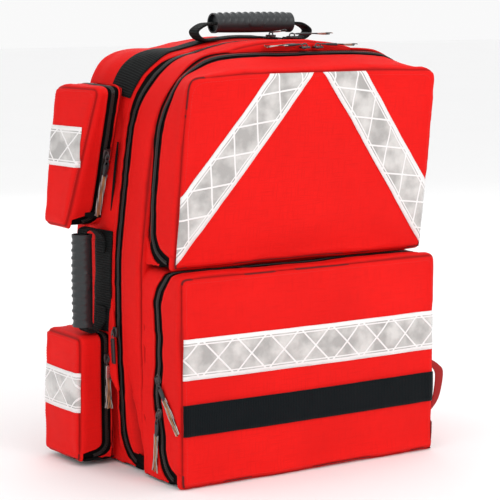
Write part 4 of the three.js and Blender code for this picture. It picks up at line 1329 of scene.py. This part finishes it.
def make_slider(template, name, place, along_zip, off, turn, tip, length, style, seed):
    """A slider on its zip, and its pull, which hangs from the slider's crown."""
    x, z = Vector(along_zip).normalized(), Vector(off).normalized()
    y = z.cross(x)
    basis = Matrix((x, y, z)).transposed().to_4x4()
    spot = Matrix.Translation(Vector(place) * MM + z * SLIDER_LIFT)
    swivel = spot @ basis @ Matrix.Rotation(math.radians(turn), 4, "Z")
    slider = template.copy()
    slider.data = template.data.copy()
    slider.name = name + "_slider_body"
    scene.collection.objects.link(slider)
    slider.data.transform(swivel)
    slider.data.materials.clear()
    slider.data.materials.append(CLOTH["slider_metal"])
    slider.data.shade_smooth()
    slider.data.set_sharp_from_angle(angle=math.radians(40))
    piece(slider, name + "_slider", "slider_metal", name + "_slider")
    end = -length * MM
    parts = [loop_of_wire(0.0016, -0.0095, 0.0052, 0.0006, "slider_metal")]
    if style == "rubber":
        parts += [link(-0.008, end, 0.0075, 0.0032, "grip_rubber")]
    elif style == "tag":
        parts += [link(-0.008, end * 0.72, 0.0068, 0.0016, "bright_metal"),
                  link(end * 0.66, end, 0.003, 0.0024, "black_plastic")]
    elif style == "tag and ribbon":
        parts += [link(-0.008, -0.026, 0.0078, 0.0017, "bright_metal"), *ribbon(-0.024, end, seed)]
    else:
        parts += [loop_of_wire(-0.007, -0.027, 0.0058, 0.0011, "grip_rubber"),
                  link(-0.013, -0.029, 0.0056, 0.0034, "grip_rubber"), *ribbon(-0.027, end, seed)]
    pull = join(parts)
    layers = pull.data.uv_layers
    for extra in [layer.name for layer in layers if layer.name != "cloth"]:
        layers.remove(layers[extra])
    if len(layers):
        layers.active_index, layers[0].active_render = 0, True
    pull.name = name + "_pull_ribbon"
    lifted = swivel @ Matrix.Translation((0, 0, PIN_HEIGHT)) @ Matrix.Rotation(math.radians(-tip), 4, "Y")
    pull.data.transform(lifted)
    pull.data.shade_smooth()
    pull.data.set_sharp_from_angle(angle=math.radians(40))
    piece(pull, name + "_pull", "pull_cord", name + "_pull")


def make_sliders():
    template = slider_template()
    crown_y, tape = ZIP_FACE + float(lean_at(531)), 2.0
    top_y, side_x = POCKET_BACK - UPPER_ZIP + float(lean_at(520)), -(float(side_at(172)) + tape)
    up, out, left = (0, 0, 1), (0, -1, 0), (-1, 0, 0)
    # name, place, way along the zip, way off the cloth, turn, tip, length of the pull, style of the pull
    rows = [("main_top_left", (8, crown_y, crown_at(8) + tape), (0, 1, 0), up, 0, -6, 34, "tag"),
            ("main_top_right", (40, crown_y, crown_at(40) + tape), left, up, 0, 1, 62, "ribbon"),
            ("main_side", (side_x, ZIP_FACE, 172), up, left, 0, 2.5, 40, "rubber"),
            ("upper_left", (14, top_y, 520), (1, 0, 0), up, 0, 2.5, 58, "ribbon"),
            ("upper_right", (34, top_y, 520), left, up, 0, 2.5, 58, "ribbon"),
            ("lower_high", (-188, POCKET_BACK - LOWER_ZIP, 128), up, left, 38, 2.5, 76, "ribbon"),
            ("lower_low", (-188, POCKET_BACK - 38, 86), up, left, -8, 2.5, 76, "ribbon")]
    share, narrowing = 0.55, POUCH_WIDTH - UPPER_POUCH_FLOOR
    height = POUCH_BASE["upper"] + share * UPPER_POUCH_HEIGHT
    slope = narrowing / UPPER_POUCH_HEIGHT + LEAN_SLOPE
    upper_y = POUCH_REAR - UPPER_POUCH_FLOOR - share * narrowing + float(lean_at(height)) + 1
    zip_x = BODY_HALF + POUCH_ZIP
    for side, sign in (("left", -1), ("right", 1)):
        rows.append((f"pouch_upper_{side}", (sign * zip_x, upper_y, height), (0, -slope, 1), (0, -1, -slope),
                     0, 2.5, 84, "ribbon"))
        rows.append((f"pouch_lower_{side}", (sign * zip_x, -36, 136), up, out, 0, 2.5, 64, "tag and ribbon"))
    for seed, row in enumerate(rows):
        make_slider(template, *row, seed)
    bpy.data.objects.remove(template)


# ------------------------------------------------------------------ harness
def pillow(name, line, sideways, outwards, half_widths, half_thickness, material, around=28):
    """A padded strap: rounded sections along a line, drawn together at its ends."""
    turn = np.arange(around) * 2 * math.pi / around
    c, s = np.cos(turn), np.sin(turn)
    flat = np.sign(c) * np.abs(c) ** 0.55
    deep = np.sign(s) * np.abs(s) ** 0.8
    outwards = np.broadcast_to(outwards, line.shape)
    vertices = []
    for p, out, width, thick in zip(line, outwards, half_widths, half_thickness):
        vertices.append(p + np.outer(flat * width, sideways) + np.outer(deep * thick, out))
    vertices = np.concatenate(vertices)
    k = np.arange((len(line) - 1) * around).reshape(-1, around)
    nxt = np.roll(k, -1, 1)
    faces = np.stack([k, nxt, nxt + around, k + around], -1).reshape(-1, 4).tolist()
    last = len(vertices) - around
    faces += [list(range(around))[::-1], list(range(last, last + around))]
    return recalculate(finish_mesh(name, vertices, faces, None, (CLOTH[material],)))


def plump(obj, cap, voxel=5.0):
    """Fills a padded piece by cloth simulation with air inside it, moving no point further than cap."""
    apply_modifier(obj, "REMESH", mode="VOXEL", voxel_size=voxel * MM)
    start = np.array([v.co for v in obj.data.vertices])
    only_select(obj)
    cloth = obj.modifiers.new("cloth", "CLOTH")
    cloth.settings.use_pressure = True
    cloth.settings.uniform_pressure_force = 4
    cloth.settings.effector_weights.gravity = 0
    cloth.point_cache.frame_start, cloth.point_cache.frame_end = 1, 20
    for step in range(1, 21):
        scene.frame_set(step)
    bpy.ops.object.modifier_apply(modifier=cloth.name)
    scene.frame_set(1)
    end = np.array([v.co for v in obj.data.vertices])
    move = end - start
    far = np.linalg.norm(move, axis=1, keepdims=True)
    end = start + move * np.minimum(1, cap * MM / np.maximum(far, 1e-9))
    obj.data.vertices.foreach_set("co", end.astype(np.float32).ravel())
    apply_modifier(obj, "SUBSURF", levels=1, render_levels=1)
    obj.data.shade_smooth()
    return obj


PAD_MIDDLE, PAD_FACE = BACK_FACE + 6.3, BACK_FACE + 12.6
PAD_LOW, PAD_HIGH, PAD_OFF_CENTRE = 99.5, 453.5, 82
SHOULDER_TOP, SHOULDER_END, SHOULDER_BOW = 462, 205, 66


def taper(t, tip):
    return np.clip(np.minimum(t, 1 - t) / tip, 0.0, 1.0) ** 0.5


def make_harness():
    for side, sign in (("left", -1), ("right", 1)):
        z = np.linspace(PAD_LOW, PAD_HIGH, 60)
        t = (z - z[0]) / (z[-1] - z[0])
        line = np.stack([np.full_like(z, sign * PAD_OFF_CENTRE), PAD_MIDDLE + lean_at(z), z], 1)
        pad = pillow(f"back_pad_{side}_cushion", line, np.array([1.0, 0, 0]), np.array([0, 1.0, 0]),
                     57.5 * (0.9 + 0.1 * taper(t, 0.06)), 4.6 * (0.25 + 0.75 * taper(t, 0.03)), "pad_mesh")
        plump(pad, 5)
        groove(pad, (170, 240, 310, 380))
        piece(pad, "pack", "pad_mesh", f"back_pad_{side}")
        start = PAD_FACE + float(lean_at(SHOULDER_TOP)) + 12
        middle = (SHOULDER_TOP + SHOULDER_END) / 2 + 10
        bow = PAD_FACE + SHOULDER_BOW
        yz = smooth_line([(start, SHOULDER_TOP), (PAD_FACE + SHOULDER_BOW * 0.62, SHOULDER_TOP - 42),
                          (bow, middle), (bow - 14, SHOULDER_END)], 90)
        t = np.linspace(0, 1, len(yz))
        x = sign * (52 + 40 * (SHOULDER_TOP - yz[:, 1]) / (SHOULDER_TOP - SHOULDER_END))
        line = np.stack([x, yz[:, 0], yz[:, 1]], 1)
        tangent = unit(np.gradient(line, axis=0))
        outwards = unit(np.cross(tangent, [1.0, 0, 0]))
        widths = np.interp(SHOULDER_TOP - yz[:, 1], [0, 10, 84, 400], [11.5, 12, 30, 30.5])
        widths = widths * (0.6 + 0.4 * taper(t, 0.05))
        pad = pillow(f"shoulder_pad_{side}_cushion", line, np.array([1.0, 0, 0]), outwards, widths,
                     4.8 * (0.3 + 0.7 * taper(t, 0.04)), "pad_mesh")
        plump(pad, 5, 4.0)
        piece(pad, f"strap_{side}", "pad_mesh", f"shoulder_pad_{side}")
        lock_low = SHOULDER_END - 37
        lock_y = PAD_FACE + SHOULDER_BOW - 17
        yz = smooth_line([(lock_y - 4, lock_low + 14), (lock_y - 4, lock_low - 2),
                          (PAD_FACE + SHOULDER_BOW * 0.42, (lock_low + 40) / 2), (BACK_FACE + 9, 40)], 70)
        x = sign * (97 + 39 * np.clip((lock_low - yz[:, 1]) / (lock_low - 40), 0, 1))
        line = np.stack([x, yz[:, 0], yz[:, 1]], 1)
        web = strap(f"lower_strap_{side}", line, (1, 0, 0), 25, 3.0)
        piece(web, f"strap_{side}", "black_webbing", f"strap_webbing_{side}")


def groove(obj, heights, depth=2.4):
    """Presses sewn channels across a pad."""
    co = np.array([v.co for v in obj.data.vertices]) / MM
    rear = co[:, 1] - lean_at(co[:, 2]) > PAD_MIDDLE
    for height in heights:
        co[:, 1] -= rear * depth * np.exp(-((co[:, 2] - height) / 3.2) ** 2)
    obj.data.vertices.foreach_set("co", (co * MM).astype(np.float32).ravel())


def make_shelf():
    lo, hi = (np.array(c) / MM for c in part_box("divider_shelf"))
    z = (lo[2] + hi[2]) / 2
    y = np.linspace(lo[1] + 0.5, hi[1] - 0.5, 24)
    t = np.linspace(0, 1, 24)
    line = np.stack([np.zeros(24), y, np.full(24, z)], 1)
    half = (hi[0] - lo[0]) / 2 - 0.5
    shelf = pillow("divider_shelf_pad", line, np.array([1.0, 0, 0]), np.array([0, 0, 1.0]),
                   np.full(24, half), 3.9 * (0.4 + 0.6 * taper(t, 0.12)), "lining", 48)
    only_select(shelf)
    layer = shelf.data.uv_layers.new(name="cloth")
    for polygon in shelf.data.polygons:
        for k in polygon.loop_indices:
            co = shelf.data.vertices[shelf.data.loops[k].vertex_index].co
            layer.data[k].uv = (co.x, co.y)
    piece(shelf, "pack", "lining", "divider_shelf")


for chosen in bpy.context.selected_objects:
    chosen.select_set(False)
make_shells()
make_zips()
make_tapes()
make_band()
make_handles()
make_sliders()
make_harness()
make_shelf()
make_base_strips()
make_tabs()
make_stitches()
stage()
slots = {s["node"]: s["material_slot"] for s in frame["record"]["subparts"]}
for name, node in frame["nodes"].items():
    node.data.materials.clear()
    node.data.materials.append(CLOTH.get(slots[name], CLOTH["lining"]))
